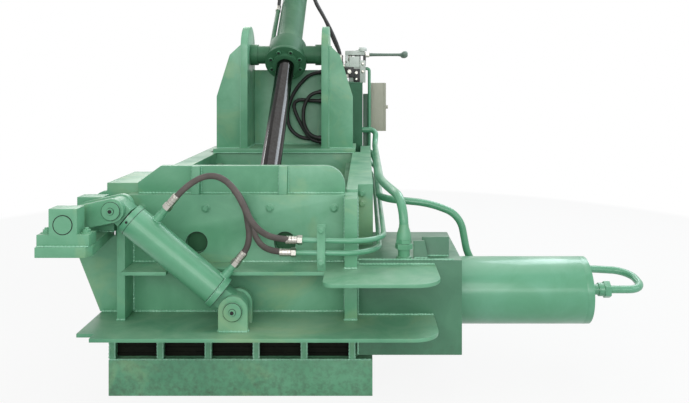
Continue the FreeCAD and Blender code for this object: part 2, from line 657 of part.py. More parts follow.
def base():
    beams = [rail(1), rail(-1)]
    beams.append(cross_channel(f"{FRONT} - skirt_reach", "skirt_depth", BASE_HALF))
    for step in range(4):
        front = f"{step} / 3 * ({BASE_REAR} - cross_rear) - cross_flange / 2"
        beams.append(cross_channel(front, "cross_flange", f"{BASE_HALF} - rail_web"))
    floor = box((OUTER_LEFT, OUTER_RIGHT), (FRONT, BACK), (BASE_TOP, f"{BASE_TOP} + floor_thick"))
    lugs = [anchor_lug(side, along) for side in (1, -1) for along in ("anchor_front", "anchor_rear")]
    saddle = cut(
        box(("-main_barrel_radius", "main_barrel_radius"),
            (f"{BARREL_END} - 5 * box_end_thick", f"{BARREL_END} - 4 * box_end_thick"),
            (BASE_TOP, f"{RAM_AXIS} - main_barrel_radius / 3")),
        bar("y", ("0", f"{BARREL_END} - 6 * box_end_thick", RAM_AXIS), "6 * box_end_thick",
            "main_barrel_radius + pin_gap"),
    )
    saddle_foot = box((f"rail_web - {BASE_HALF}", f"{BASE_HALF} - rail_web"),
                      (f"{BARREL_END} - 5 * box_end_thick", f"{BARREL_END} - 4 * box_end_thick"),
                      (f"{BASE_TOP} - rail_flange", BASE_TOP))
    keep("base_frame", fuse(*beams, floor, *lugs, saddle, saddle_foot))

    # the wear plate leaves the tray's place open and slopes under the tray's tip
    tip = f"({LEFT} + channel_width + tray_floor_gap)"
    under_tip = f"({tip} - tray_bevel)"
    low = f"({BASE_TOP} + floor_thick)"
    main_liner = box((LEFT, RIGHT), (CHANNEL_BACK, BACK), (low, "floor_top"))
    front_liner = plate(
        "XZ_Plane",
        [(under_tip, low), (OUTER_RIGHT, low), (OUTER_RIGHT, "floor_top"), (tip, "floor_top")],
        (FRONT, CHANNEL_BACK))
    keep("floor_liner", fuse(main_liner, front_liner))


# ---------------------------------------------------------------- chamber walls
def front_wall():
    outline = [
        (GIRDER_LEFT, BASE_TOP), (OUTER_RIGHT, BASE_TOP), (OUTER_RIGHT, "front_top"),
        (OUTER_LEFT, "front_top"), (OUTER_LEFT, "table_bottom"), ("-wing_high", "table_bottom"),
        ("-wing_low", "lower_shelf_top"), (GIRDER_LEFT, "lower_shelf_top"),
    ]
    holes = [("-peep_left", "peep_height", "peep_radius"),
             ("peep_right", "peep_height", "peep_radius")]
    keep("front_plate", plate("XZ_Plane", outline, (FACE, f"{FACE} + front_outer"), holes))
    keep("front_liner", box((OUTER_LEFT, OUTER_RIGHT), (f"{FACE} + front_outer", FRONT),
                            (BASE_TOP, "front_top")))

    arch_face = f"({FRONT} - arch_thick)"
    arch = plate(
        "XZ_Plane",
        [("-arch_left", "front_top"), ("arch_right", "front_top"), ("arch_right", "arch_top"),
         ("-arch_left + arch_slope_run", "arch_top"),
         ("-arch_left", "arch_top - arch_slope_drop")],
        (arch_face, FRONT), rounds={2: "arch_round"})
    gussets = []
    for middle in ("-arch_gusset_left", "arch_gusset_right"):
        gussets.append(plate(
            "YZ_Plane",
            [(FACE, "front_top"), (arch_face, "front_top"), (arch_face, "arch_top"),
             (f"{arch_face} - arch_gusset_thick / 2", "arch_top")],
            (f"{middle} - arch_gusset_thick / 2", f"{middle} + arch_gusset_thick / 2")))
    keep("front_arch", fuse(arch, *gussets))


def side_walls():
    low = f"({BASE_TOP} + floor_thick)"
    hinge = [(HINGE_Y, "lid_hinge_z", "lid_hinge_pin")]
    left_plate = plate(
        "YZ_Plane",
        [(CHANNEL_BACK, low), (BACK, low), (BACK, "rim_top"), (CHANNEL_BACK, "rim_top")],
        (OUTER_LEFT, LEFT), hinge)
    left_girder = plate(
        "YZ_Plane",
        [(f"{FACE} + front_outer", BASE_TOP), (GIRDER_BACK, BASE_TOP),
         (GIRDER_BACK, "rim_top"), (CHANNEL_BACK, "rim_top"),
         (CHANNEL_BACK, "tray_backing_top"), (f"{FACE} + front_outer", "tray_backing_top")],
        (GIRDER_LEFT, OUTER_LEFT))
    keep("left_wall", fuse(left_plate, left_girder))

    box_back = f"({CHANNEL_BACK} + side_box_wall)"
    right_plate = plate(
        "YZ_Plane",
        [(CHANNEL_BACK, low), (BACK, low), (BACK, "rim_top"), (FRONT, "rim_top"),
         (FRONT, CHANNEL_TOP), (CHANNEL_BACK, CHANNEL_TOP)],
        (RIGHT, OUTER_RIGHT), hinge)
    right_girder = plate(
        "YZ_Plane",
        [(box_back, BASE_TOP), (GIRDER_BACK, BASE_TOP), (GIRDER_BACK, "rim_top"),
         (f"{FRONT} + girder_setback", "rim_top"), (f"{FRONT} + girder_setback", BOX_TOP),
         (box_back, BOX_TOP)],
        (OUTER_RIGHT, GIRDER_RIGHT))
    keep("right_wall", fuse(right_plate, right_girder))

    back_plate = box((OUTER_LEFT, OUTER_RIGHT), (BACK, f"{BACK} + back_thick"),
                     (BOX_TOP, "rim_top"))
    props = [
        box((near, far), (f"{BACK} + back_thick", f"{TRUNNION_Y} + ear_depth / 2"),
            (BOX_TOP, "rim_top"))
        for near, far in (("ear_inside", "ear_inside + ear_thick"),
                          ("-ear_inside - ear_thick", "-ear_inside"))
    ]
    keep("back_wall", fuse(back_plate, *props))


def shelves_and_ribs():
    box_face = f"({FRONT} - side_box_reach)"
    narrow = f"({FACE} - narrow_reach)"
    wide = f"({FACE} - wide_reach)"
    slope = f"(turn_across / ({PIN_Z} - {CLEVIS_Z}))"
    crossing = f"({CLEVIS_X} - ({MID_SHELF} - {CLEVIS_Z}) * {slope})"
    half = f"(turn_barrel_radius / sin({TURN_TILT}) + turn_barrel_radius / 2)"
    notch_back = f"(turn_barrel_radius + pin_gap + {TURN_Y} + base_eye_width / 5)"
    middle = plate(
        "XY_Plane",
        [("-mid_shelf_left", FACE), ("-mid_shelf_left", narrow),
         (f"{crossing} - {half}", narrow), (f"{crossing} - {half}", notch_back),
         (f"{crossing} + {half}", notch_back), (f"{crossing} + {half}", narrow),
         ("mid_shelf_step", narrow), ("mid_shelf_step", wide), ("mid_shelf_right", wide),
         ("mid_shelf_right", box_face), (OUTER_RIGHT, box_face), (OUTER_RIGHT, FACE)],
        (f"{MID_SHELF} - shelf_thick", MID_SHELF),
        rounds={7: "shelf_small_round", 8: "shelf_round"})
    keep("mid_shelf", middle)

    front = f"({FACE} - lower_reach)"
    lower = plate(
        "XY_Plane",
        [("-lower_shelf_back_left", FACE), ("-lower_shelf_back_left", f"{front} + lower_notch"),
         ("-lower_shelf_left", f"{front} + lower_notch"), ("-lower_shelf_left", front),
         ("lower_shelf_right", front), ("lower_shelf_right", box_face),
         (OUTER_RIGHT, box_face), (OUTER_RIGHT, FACE)],
        ("lower_shelf_top - shelf_thick", "lower_shelf_top"), rounds={4: "shelf_round"})
    ears = []
    inner = "(base_eye_width / 2 + eye_gap)"
    for near in (f"{TURN_Y} - {inner} - clevis_ear_thick", f"{TURN_Y} + {inner}"):
        upright = box((f"{CLEVIS_X} - clevis_ear_width / 2", f"{CLEVIS_X} + clevis_ear_width / 2"),
                      (near, f"{near} + clevis_ear_thick"), ("lower_shelf_top", CLEVIS_Z))
        crown = bar("y", (CLEVIS_X, near, CLEVIS_Z), "clevis_ear_thick",
                    "clevis_ear_width / 2")
        bore = bar("y", (CLEVIS_X, near, CLEVIS_Z), "clevis_ear_thick",
                   "turn_pin_radius + pin_gap")
        ears.append(cut(fuse(upright, crown), bore))
    keep("lower_shelf", fuse(lower, *ears))
    pin_front = f"({TURN_Y} - {inner} - clevis_ear_thick)"
    pin = bar("y", (CLEVIS_X, pin_front, CLEVIS_Z), f"2 * ({inner} + clevis_ear_thick)",
              "turn_pin_radius")
    disc = bar("y", (CLEVIS_X, f"{pin_front} - cap_disc_thick", CLEVIS_Z), "cap_disc_thick",
               "cap_disc_radius")
    keep("clevis_pin", fuse(pin, disc))

    rib_front = f"({FACE} - rib_reach)"
    left = box(("-mid_shelf_left - left_rib_width", "-mid_shelf_left"), (rib_front, FACE),
               ("lower_shelf_top", "left_rib_top"))
    right_x = (f"{OUTER_RIGHT} - right_rib_width", OUTER_RIGHT)
    right_low = box(right_x, (rib_front, FACE), ("lower_shelf_top", f"{MID_SHELF} - shelf_thick"))
    right_high = box(right_x, (rib_front, FACE), (MID_SHELF, "front_top"))
    keep("front_ribs", group(left, right_low, right_high))

    short = []
    for step in range(6):
        near = f"({GIRDER_LEFT} + {step} * lower_rib_pitch)"
        short.append(box((near, f"{near} + lower_rib_thick"), (f"{FRONT} - skirt_reach", FACE),
                         (BASE_TOP, "lower_shelf_top - shelf_thick")))
    keep("lower_ribs", group(*short))


# ---------------------------------------------------------------- rams
def ram_box(role, outline, ending_outline, window, start, end, axis_u, radius):
    """A rectangular sleeve with an end plate that holds the cylinder."""
    plate_start = f"({end} - box_end_thick)"
    sleeve = plate(role, outline, (start, plate_start), windows=[window])
    ending = plate(role, ending_outline, (plate_start, end), [(axis_u, RAM_AXIS, radius)])
    return sleeve, ending


def piston_rod(role, face, flange, rod, piston_at, piston, thick):
    """A rod with its mounting flange at one end and its piston at the other."""
    end = f"({piston_at} + {thick})"
    return turned(role, [
        (face, "0"), (face, flange), (f"{face} + gland_thick / 2", flange),
        (f"{face} + gland_thick / 2", rod), (piston_at, rod), (piston_at, piston),
        (end, piston), (end, "0")])


def main_ram():
    outline, ending_outline = [
        [(OUTER_LEFT, BASE_TOP), (OUTER_RIGHT, BASE_TOP), (OUTER_RIGHT, top), (OUTER_LEFT, top)]
        for top in (BOX_TOP, MAIN_END_TOP)
    ]
    window = [(LEFT, "floor_top"), (RIGHT, "floor_top"), (RIGHT, CHANNEL_TOP),
              (LEFT, CHANNEL_TOP)]
    sleeve, ending = ram_box("XZ_Plane", outline, ending_outline, window, BACK, MAIN_END, "0",
                             "main_barrel_radius + pin_gap")
    keep("main_ram_box", fuse(sleeve, ending))
    start = f"({MAIN_END} - box_end_thick)"
    end = BARREL_END
    barrel = turned("YZ_Plane", [
        (start, "main_rod_radius + seal_gap"), (start, "main_barrel_radius"),
        (end, "main_barrel_radius"), (end, MAIN_BORE),
        (f"{start} + gland_thick", MAIN_BORE),
        (f"{start} + gland_thick", "main_rod_radius + seal_gap")])
    seat(barrel, z=RAM_AXIS)
    bosses = [
        bar("z", ("0", along, f"{RAM_AXIS} + main_barrel_radius - gland_thick / 8"),
            "gland_thick / 2", "gland_thick / 2")
        for along in (f"{start} + 2 * gland_thick", f"{end} - gland_thick")
    ]
    keep("main_barrel", fuse(barrel, *bosses))
    cap = turned("YZ_Plane", [
        (f"{end} - gland_thick / 4", "0"), (f"{end} + main_cap_thick", "0"),
        (f"{end} + main_cap_thick", "main_barrel_radius"), (end, "main_barrel_radius"),
        (end, f"{MAIN_BORE} - seal_gap"),
        (f"{end} - gland_thick / 4", f"{MAIN_BORE} - seal_gap")])
    keep("main_end_cap", seat(cap, z=RAM_AXIS))

    face = f"({BACK} + ram_gap)"
    low = "(floor_top + ram_floor_gap)"
    high = f"({CHANNEL_TOP} - ram_gap)"
    left = f"({LEFT} + ram_gap)"
    right = f"({RIGHT} - ram_gap)"
    wall = "gland_thick"
    nose = box((left, right), (face, f"{face} + {wall}"), (low, high))
    outline = [(left, low), (right, low), (right, high), (left, high)]
    window = [(f"{left} + {wall} / 2", f"{low} + {wall} / 2"),
              (f"{right} - {wall} / 2", f"{low} + {wall} / 2"),
              (f"{right} - {wall} / 2", f"{high} - {wall} / 2"),
              (f"{left} + {wall} / 2", f"{high} - {wall} / 2")]
    sleeve = plate("XZ_Plane", outline, (f"{face} + {wall}", f"{face} + main_head_length"),
                   windows=[window])
    keep("main_ram_head", fuse(nose, sleeve))
    rod = piston_rod("YZ_Plane", f"({face} + {wall})", "main_rod_radius + 10",
                     "main_rod_radius", f"({end} - gland_thick / 2 - main_piston_thick)",
                     f"{MAIN_BORE} - seal_gap", "main_piston_thick")
    keep("main_rod", seat(rod, z=RAM_AXIS))


def side_ram():
    front = f"({FRONT} - side_box_reach)"
    back = f"({CHANNEL_BACK} + side_box_wall)"
    floor = "(floor_top - side_box_floor)"
    outline = [(front, floor), (back, floor), (back, BOX_TOP), (front, BOX_TOP)]
    window = [(FRONT, "floor_top"), (CHANNEL_BACK, "floor_top"), (CHANNEL_BACK, CHANNEL_TOP),
              (FRONT, CHANNEL_TOP)]
    sleeve, ending = ram_box("YZ_Plane", outline, outline, window, OUTER_RIGHT, SIDE_END,
                             SIDE_AXIS_Y, "side_barrel_radius + pin_gap")
    low_gusset = plate(
        "XZ_Plane",
        [(f"{SIDE_END} - 160", BOX_TOP), (f"{SIDE_END} - 110", BOX_TOP),
         (f"{SIDE_END} - 123", f"{BOX_TOP} + 59"), (f"{SIDE_END} - 160", f"{BOX_TOP} + 59")],
        (f"{front} + 22", f"{front} + 34"))
    high_gusset = plate(
        "XZ_Plane",
        [(f"{SIDE_END} - 129", BOX_TOP), (f"{SIDE_END} - 37", BOX_TOP),
         (f"{SIDE_END} - 37", f"{BOX_TOP} + 65"), (f"{SIDE_END} - 129", f"{BOX_TOP} + 65")],
        (f"{front} + 54", f"{front} + 66"))
    keep("side_ram_box", fuse(sleeve, ending, low_gusset, high_gusset))

    start = f"({SIDE_END} - box_end_thick)"
    end = SIDE_BARREL_END
    barrel = turned("XY_Plane", [
        (start, "side_rod_radius + seal_gap"), (start, "side_barrel_radius"),
        (end, "side_barrel_radius"), (end, SIDE_BORE),
        (f"{start} + side_gland_thick", SIDE_BORE),
        (f"{start} + side_gland_thick", "side_rod_radius + seal_gap")])
    keep("side_barrel", seat(barrel, y=SIDE_AXIS_Y, z=RAM_AXIS))
    face = f"({end} + side_cap_thick)"
    cap = turned("XY_Plane", [
        (f"{end} - 8", "0"), (f"{face} + side_union_length", "0"),
        (f"{face} + side_union_length", "1.5 * mid_pipe_radius"),
        (f"{face} + 68", "1.5 * mid_pipe_radius"),
        (f"{face} + 68", "24"), (f"{face} + 48", "24"), (f"{face} + 48", "19"), (face, "19"),
        (face, "side_barrel_radius"), (end, "side_barrel_radius"),
        (end, f"{SIDE_BORE} - seal_gap"), (f"{end} - 8", f"{SIDE_BORE} - seal_gap")])
    nut = hexagon("x", (f"{face} + 68", "0", "0"), "side_union_length - 70", "31")
    keep("side_end_cap", seat(fuse(cap, nut), y=SIDE_AXIS_Y, z=RAM_AXIS))

    face = RIGHT
    low = "(floor_top + ram_floor_gap)"
    high = f"({CHANNEL_TOP} - ram_gap)"
    near = f"({FRONT} + ram_gap)"
    far = f"({CHANNEL_BACK} - ram_gap)"
    wall = "gland_thick"
    nose = box((face, f"{face} + {wall}"), (near, far), (low, high))
    outline = [(near, low), (far, low), (far, high), (near, high)]
    window = [(f"{near} + {wall} / 2", f"{low} + {wall} / 2"),
              (f"{far} - {wall} / 2", f"{low} + {wall} / 2"),
              (f"{far} - {wall} / 2", f"{high} - {wall} / 2"),
              (f"{near} + {wall} / 2", f"{high} - {wall} / 2")]
    sleeve = plate("YZ_Plane", outline, (f"{face} + {wall}", f"{face} + side_head_length"),
                   windows=[window])
    keep("side_ram_head", fuse(nose, sleeve))
    rod = piston_rod("XY_Plane", f"({face} + {wall})", "side_rod_radius + 30",
                     "side_rod_radius", f"({end} - 10 - side_piston_thick)",
                     f"{SIDE_BORE} - seal_gap", "side_piston_thick")
    keep("side_rod", seat(rod, y=SIDE_AXIS_Y, z=RAM_AXIS))


# ---------------------------------------------------------------- tower and lid
def tower():
    tower_back = f"({BACK} - tower_lap + tower_depth)"
    floor = box(("-tower_width / 2", "tower_width / 2"), (f"{BACK} - tower_lap", tower_back),
                ("rim_top", TOWER_FLOOR))
    ear_back = f"({TRUNNION_Y} + ear_depth / 2)"
    back = box(("-ear_inside", "ear_inside"), (f"{ear_back} - tower_back_thick", ear_back),
               (TOWER_FLOOR, "tower_back_top"))
    keep("tower_base", fuse(floor, back))

    ears = []
    wings = []
    wing_front = f"({TRUNNION_Y} - ear_depth / 2 + wing_setback)"
    for side, near in ((1, "ear_inside"), (-1, "-ear_inside - ear_thick")):
        upright = box((near, f"{near} + ear_thick"),
                      (f"{TRUNNION_Y} - ear_depth / 2", f"{TRUNNION_Y} + ear_depth / 2"),
                      (TOWER_FLOOR, "trunnion_z + ear_crown"))
        crown = bar("x", (near, TRUNNION_Y, "trunnion_z + ear_crown"), "ear_thick",
                    "ear_depth / 2")
        bore = bar("x", (near, TRUNNION_Y, "trunnion_z"), "ear_thick",
                   "trunnion_radius + pin_gap")
        ears.append(cut(fuse(upright, crown), bore))
        root = f"{side} * (ear_inside + ear_thick)"
        wings.append(plate(
            "XZ_Plane",
            [(root, TOWER_FLOOR), (f"{side} * wing_outer", TOWER_FLOOR),
             (f"{side} * wing_outer", "wing_shoulder"), (f"{side} * wing_knee_x", "wing_knee"),
             (root, "wing_top")],
            (wing_front, f"{wing_front} + wing_thick")))
    keep("tower_ears", group(*ears))
    keep("tower_wings", group(*wings))


def lid_cylinder():
    """Drawn level at the trunnion, rod to the front, then tipped down to the lid's pin."""
    tip = dict(y=TRUNNION_Y, z="trunnion_z", axis=Vector(1, 0, 0), angle=LID_TILT)
    rear = "lid_barrel_rear"
    head = "trunnion_head_half"
    body = turned("YZ_Plane", [
        (f"-{head}", "lid_rod_radius + seal_gap"), (f"-{head}", "trunnion_head_radius"),
        (head, "trunnion_head_radius"), (head, "lid_barrel_radius"),
        (rear, "lid_barrel_radius"), (rear, "lid_barrel_radius + seal_gap * 20"),
        (f"{rear} + lid_cap_thick", "lid_barrel_radius + seal_gap * 20"),
        (f"{rear} + lid_cap_thick", "0"), (f"{rear} - lid_cap_thick", "0"),
        (f"{rear} - lid_cap_thick", LID_BORE),
        (f"-{head} + 20", LID_BORE), (f"-{head} + 20", "lid_rod_radius + seal_gap")])
    pins = []
    for side in (1, -1):
        near = "trunnion_head_radius - 30" if side == 1 else "-trunnion_reach"
        pins.append(bar("x", (near, "0", "0"), "trunnion_reach - trunnion_head_radius + 30",
                        "trunnion_radius"))
        collar = "ear_inside - 2 - collar_length" if side == 1 else "-ear_inside + 2"
        pins.append(bar("x", (collar, "0", "0"), "collar_length", "collar_radius"))
    port = bar("x", ("lid_barrel_radius - 6", f"{rear} - 20", "0"), "56", "port_radius")
    elbow = bar("y", ("lid_barrel_radius + 38", f"{rear} - 60", "0"), "40", "lid_pipe_radius")
    pipe = bar("y", ("-lid_barrel_radius - 15", f"{head} - 5", "20"), f"405 - {head}",
               "lid_pipe_radius")
    keep("lid_barrel", seat(fuse(body, *pins, port, elbow, pipe), **tip))

    flange_front = f"(-{head} - lid_flange_thick)"
    flange = turned("YZ_Plane", [
        (f"-{head}", "lid_rod_radius + seal_gap"), (f"-{head}", "lid_flange_radius"),
        (flange_front, "lid_flange_radius"), (flange_front, "lid_boss_radius"),
        (f"{flange_front} - lid_boss_length", "lid_boss_radius"),
        (f"{flange_front} - lid_boss_length", "lid_rod_radius + seal_gap")])
    screws = []
    for step in range(8):
        angle = f"{22.5 + 45 * step}"
        screws.append(bar("y", (f"lid_screw_circle * cos({angle})",
                                f"{flange_front} - lid_screw_height",
                                f"lid_screw_circle * sin({angle})"),
                          "lid_screw_height", "lid_screw_radius"))
    keep("lid_gland", seat(fuse(flange, *screws), **tip))

    rod = turned("YZ_Plane", [
        (f"-{LID_REACH} + lid_eye_radius + 5", "0"),
        (f"-{LID_REACH} + lid_eye_radius + 5", "lid_rod_radius"),
        ("lid_piston_rest", "lid_rod_radius"), ("lid_piston_rest", f"{LID_BORE} - seal_gap"),
        ("lid_piston_rest + lid_piston_thick", f"{LID_BORE} - seal_gap"),
        ("lid_piston_rest + lid_piston_thick", "0")])
    eye = bar("x", ("-lid_eye_width / 2", f"-{LID_REACH}", "0"), "lid_eye_width",
              "lid_eye_radius")
    neck = box(("-lid_eye_width / 2", "lid_eye_width / 2"),
               (f"-{LID_REACH}", f"-{LID_REACH} + lid_eye_radius + 10"),
               ("-lid_eye_radius + 12", "lid_eye_radius - 12"))
    keep("lid_rod", seat(fuse(rod, eye, neck), **tip))


def lid():
    front = f"({FRONT} + lid_front_gap)"
    back = f"({BACK} - lid_rear_gap)"
    left = f"({LEFT} + lid_tray_gap)"
    right = f"({RIGHT} - lid_side_gap)"
    low_rib = f"({LID_TOP} + lid_rib_front)"
    high_rib = f"({LID_TOP} + 2 * lid_rib_front)"
    pieces = [box((left, right), (front, back), (LID_BOTTOM, LID_TOP))]
    hub = "lid_hub_radius"
    outer_rib = [
        (front, LID_TOP), (f"{HINGE_Y} + {hub}", LID_TOP), (f"{HINGE_Y} + {hub}", "lid_hinge_z"),
        (HINGE_Y, f"lid_hinge_z + {hub}"), (LID_PIN_Y, high_rib), (front, low_rib)]
    for near in (left, f"({right} - lid_rib_thick)"):
        rib = plate("YZ_Plane", outer_rib, (near, f"{near} + lid_rib_thick"))
        boss = bar("x", (near, HINGE_Y, "lid_hinge_z"), "lid_rib_thick", hub)
        bore = bar("x", (near, HINGE_Y, "lid_hinge_z"), "lid_rib_thick",
                   "lid_hinge_pin + pin_gap")
        pieces.append(cut(fuse(rib, boss), bore))
    rib_back = f"({HINGE_Y} - 2 * lid_hub_radius)"
    inner_rib = [(front, LID_TOP), (rib_back, LID_TOP), (rib_back, high_rib), (front, low_rib)]
    for middle in ("lid_mid_rib_x", "-lid_mid_rib_x"):
        pieces.append(plate("YZ_Plane", inner_rib, (f"{middle} - lid_mid_rib_thick / 2",
                                                    f"{middle} + lid_mid_rib_thick / 2")))
    for along in (f"{front} + 170", f"{HINGE_Y} - 240"):
        pieces.append(box((left, right), (along, f"{along} + lid_mid_rib_thick"),
                          (LID_TOP, low_rib)))
    lug = [
        (front, LID_TOP), (rib_back, LID_TOP), (rib_back, high_rib),
        (f"{LID_PIN_Y} + 2 * lid_lug_radius", f"{LID_TOP} + 50"),
        (f"{LID_PIN_Y} + lid_lug_radius", "lid_pin_z"), (f"{LID_PIN_Y} - lid_lug_radius", "lid_pin_z"),
        (f"{LID_PIN_Y} - 3 * lid_lug_radius", low_rib), (front, low_rib)]
    inner = "(lid_eye_width / 2 + lug_gap)"
    stubs = []
    for side, near in ((1, inner), (-1, f"(-{inner} - lid_lug_thick)")):
        web = plate("YZ_Plane", lug, (near, f"{near} + lid_lug_thick"))
        crown = bar("x", (near, LID_PIN_Y, "lid_pin_z"), "lid_lug_thick", "lid_lug_radius")
        bore = bar("x", (near, LID_PIN_Y, "lid_pin_z"), "lid_lug_thick",
                   "lid_pin_radius + pin_gap")
        pieces.append(cut(fuse(web, crown), bore))
        stub = bar("x", (near, LID_PIN_Y, "lid_pin_z"), "lid_lug_thick", "lid_pin_radius")
        disc_at = f"{near} + lid_lug_thick" if side == 1 else f"{near} - cap_disc_thick"
        disc = bar("x", (disc_at, LID_PIN_Y, "lid_pin_z"), "cap_disc_thick",
                   "lid_pin_radius + cap_disc_thick")
        stubs.append(fuse(stub, disc))
    keep("lid_frame", fuse(*pieces))
    keep("lid_pin", group(*stubs))

    pins = []
    for gap, side in (("lid_side_gap", 1), ("lid_tray_gap", -1)):
        reach = f"({gap} + lid_rib_thick + side_thick)"
        start = f"{OUTER_RIGHT} - {reach}" if side == 1 else OUTER_LEFT
        pins.append(bar("x", (start, HINGE_Y, "lid_hinge_z"), reach, "lid_hinge_pin"))
    keep("lid_hinge_pins", group(*pins))


# ---------------------------------------------------------------- turn-out gear
def turn_out_tray():
    low = f"({BASE_TOP} + floor_thick + tray_floor_gap)"
    tip = f"({LEFT} + channel_width)"
    wall = f"({LEFT} - tray_wall)"
    near = f"({FRONT} + tray_gap)"
    far = f"({CHANNEL_BACK} - tray_gap)"
    pieces = [plate(
        "XZ_Plane",
        [(wall, low), (f"{tip} - tray_bevel", low), (tip, "floor_top"), (LEFT, "floor_top"),
         (LEFT, TRAY_WALL_TOP), (wall, TRAY_WALL_TOP)],
        (near, far))]
    arm = [(wall, f"{SHAFT_Z} - 64"), (wall, TRAY_WALL_TOP), (SHAFT_X, f"{SHAFT_Z} + hub_radius"),
           (SHAFT_X, f"{SHAFT_Z} - hub_radius")]
    middle = f"({SIDE_AXIS_Y} - tray_arm_thick / 2)"
    for start in (near, middle, f"({far} - tray_arm_thick)"):
        web = plate("XZ_Plane", arm, (start, f"{start} + tray_arm_thick"))
        hub = bar("y", (SHAFT_X, start, SHAFT_Z), "tray_arm_thick", "hub_radius")
        pieces.extend([web, hub])
    pieces.append(box((f"{SHAFT_X} + 3", LEFT), (near, far),
                      (TRAY_WALL_TOP, f"{SHAFT_Z} + tray_cap_rise")))
    bore = bar("y", (SHAFT_X, near, SHAFT_Z), f"{far} - {near}", "shaft_radius")
    keep("turn_tray", cut(fuse(*pieces), bore))

    keep("tray_shaft", bar("y", (SHAFT_X, f"{FRONT_BLOCK} + 2", SHAFT_Z),
                           f"{FAR_BLOCK} - {FRONT_BLOCK} + front_block_depth - 6",
                           "shaft_radius"))


def turn_out_bearings():
    main_table = plate(
        "XY_Plane",
        [(TABLE_LEFT, TABLE_FRONT), (f"{SHAFT_X} + 69", TABLE_FRONT),
         (f"{SHAFT_X} + 82", f"{TABLE_FRONT} + 25"), (f"{SHAFT_X} + 44", f"{FACE} + front_outer"),
         (TABLE_LEFT, f"{FACE} + front_outer")],
        ("table_bottom", TABLE_TOP))
    far_front = CHANNEL_BACK
    far_table = box((TABLE_LEFT, GIRDER_LEFT), (far_front, f"{far_front} + 100"),
                    ("table_bottom", TABLE_TOP))
    bracket = plate(
        "XZ_Plane",
        [(f"{TABLE_LEFT} + 20", "table_bottom"), (GIRDER_LEFT, "table_bottom - 130"),
         (GIRDER_LEFT, "table_bottom")],
        (f"{far_front} + 44", f"{far_front} + 56"))
    keep("bearing_table", group(main_table, fuse(far_table, bracket)))

    foot = "foot_width / 2"
    half = "block_width / 2"
    step_z = f"({TABLE_TOP} + foot_height)"
    top = f"({SHAFT_Z} + block_rise)"
    bore = [(SHAFT_X, SHAFT_Z, "shaft_radius + pin_gap")]
    blocks = []
    bolts = []
    for face in (FRONT_BLOCK, REAR_BLOCK, FAR_BLOCK):
        # the far block stands against the girder, so it has no foot on that side
        far = face == FAR_BLOCK
        outline = [
            (f"{SHAFT_X} + {half}", TABLE_TOP), (f"{SHAFT_X} + {half}", top),
            (f"{SHAFT_X} - {half}", top), (f"{SHAFT_X} - {half}", step_z),
            (f"{SHAFT_X} - {foot}", step_z), (f"{SHAFT_X} - {foot}", TABLE_TOP)]
        if not far:
            outline = outline[1:] + [(f"{SHAFT_X} + {foot}", TABLE_TOP),
                                     (f"{SHAFT_X} + {foot}", step_z),
                                     (f"{SHAFT_X} + {half}", step_z)]
        blocks.append(plate("XZ_Plane", outline, (face, f"{face} + front_block_depth"), bore))
        for side in ("-",) if far else ("-", "+"):
            place = (f"{SHAFT_X} {side} ({foot} + {half}) / 2", f"{face} + front_block_depth / 2",
                     step_z)
            bolts.append(hexagon("z", place, "bolt_height", "bolt_radius"))
    keep("bearing_blocks", group(*blocks))
    for step in range(4):
        place = (f"-blade_bolt_start + {step} * blade_bolt_pitch", f"{FACE} - bolt_height",
                 "blade_bolt_height")
        bolts.append(hexagon("y", place, "bolt_height", "bolt_radius"))
    for drop in ("34", "70"):
        place = (f"{OUTER_RIGHT} + 14", f"{FRONT} + girder_setback - bolt_height",
                 f"rim_top - {drop}")
        bolts.append(hexagon("y", place, "bolt_height", "bolt_radius"))
    keep("hex_bolts", group(*bolts))


def turn_out_lever():
    """Two fork plates, drawn level from the shaft and then tipped to the pin."""
    tip = dict(x=SHAFT_X, z=SHAFT_Z, axis=Vector(0, -1, 0), angle=LEVER_TILT)
    plates = []
    gap = "(rod_eye_width / 2 + eye_gap)"
    for side, near in ((-1, f"({TURN_Y} - {gap} - lever_thick)"),
                       (1, f"({TURN_Y} + {gap})")):
        web = box(("0", LEVER_REACH), (near, f"{near} + lever_thick"),
                  ("-lever_radius", "lever_radius"))
        ends = [bar("y", (x, near, "0"), "lever_thick", "lever_radius")
                for x in ("0", LEVER_REACH)]
        if side < 0:
            ends.append(bar("y", (LEVER_REACH, f"{near} - cap_disc_thick", "0"),
                            "cap_disc_thick", "cap_disc_radius"))
        shaft_bore = bar("y", ("0", near, "0"), "lever_thick", "shaft_radius")
        plates.append(cut(fuse(web, *ends), shaft_bore))
    keep("turn_lever", seat(group(*plates), **tip))


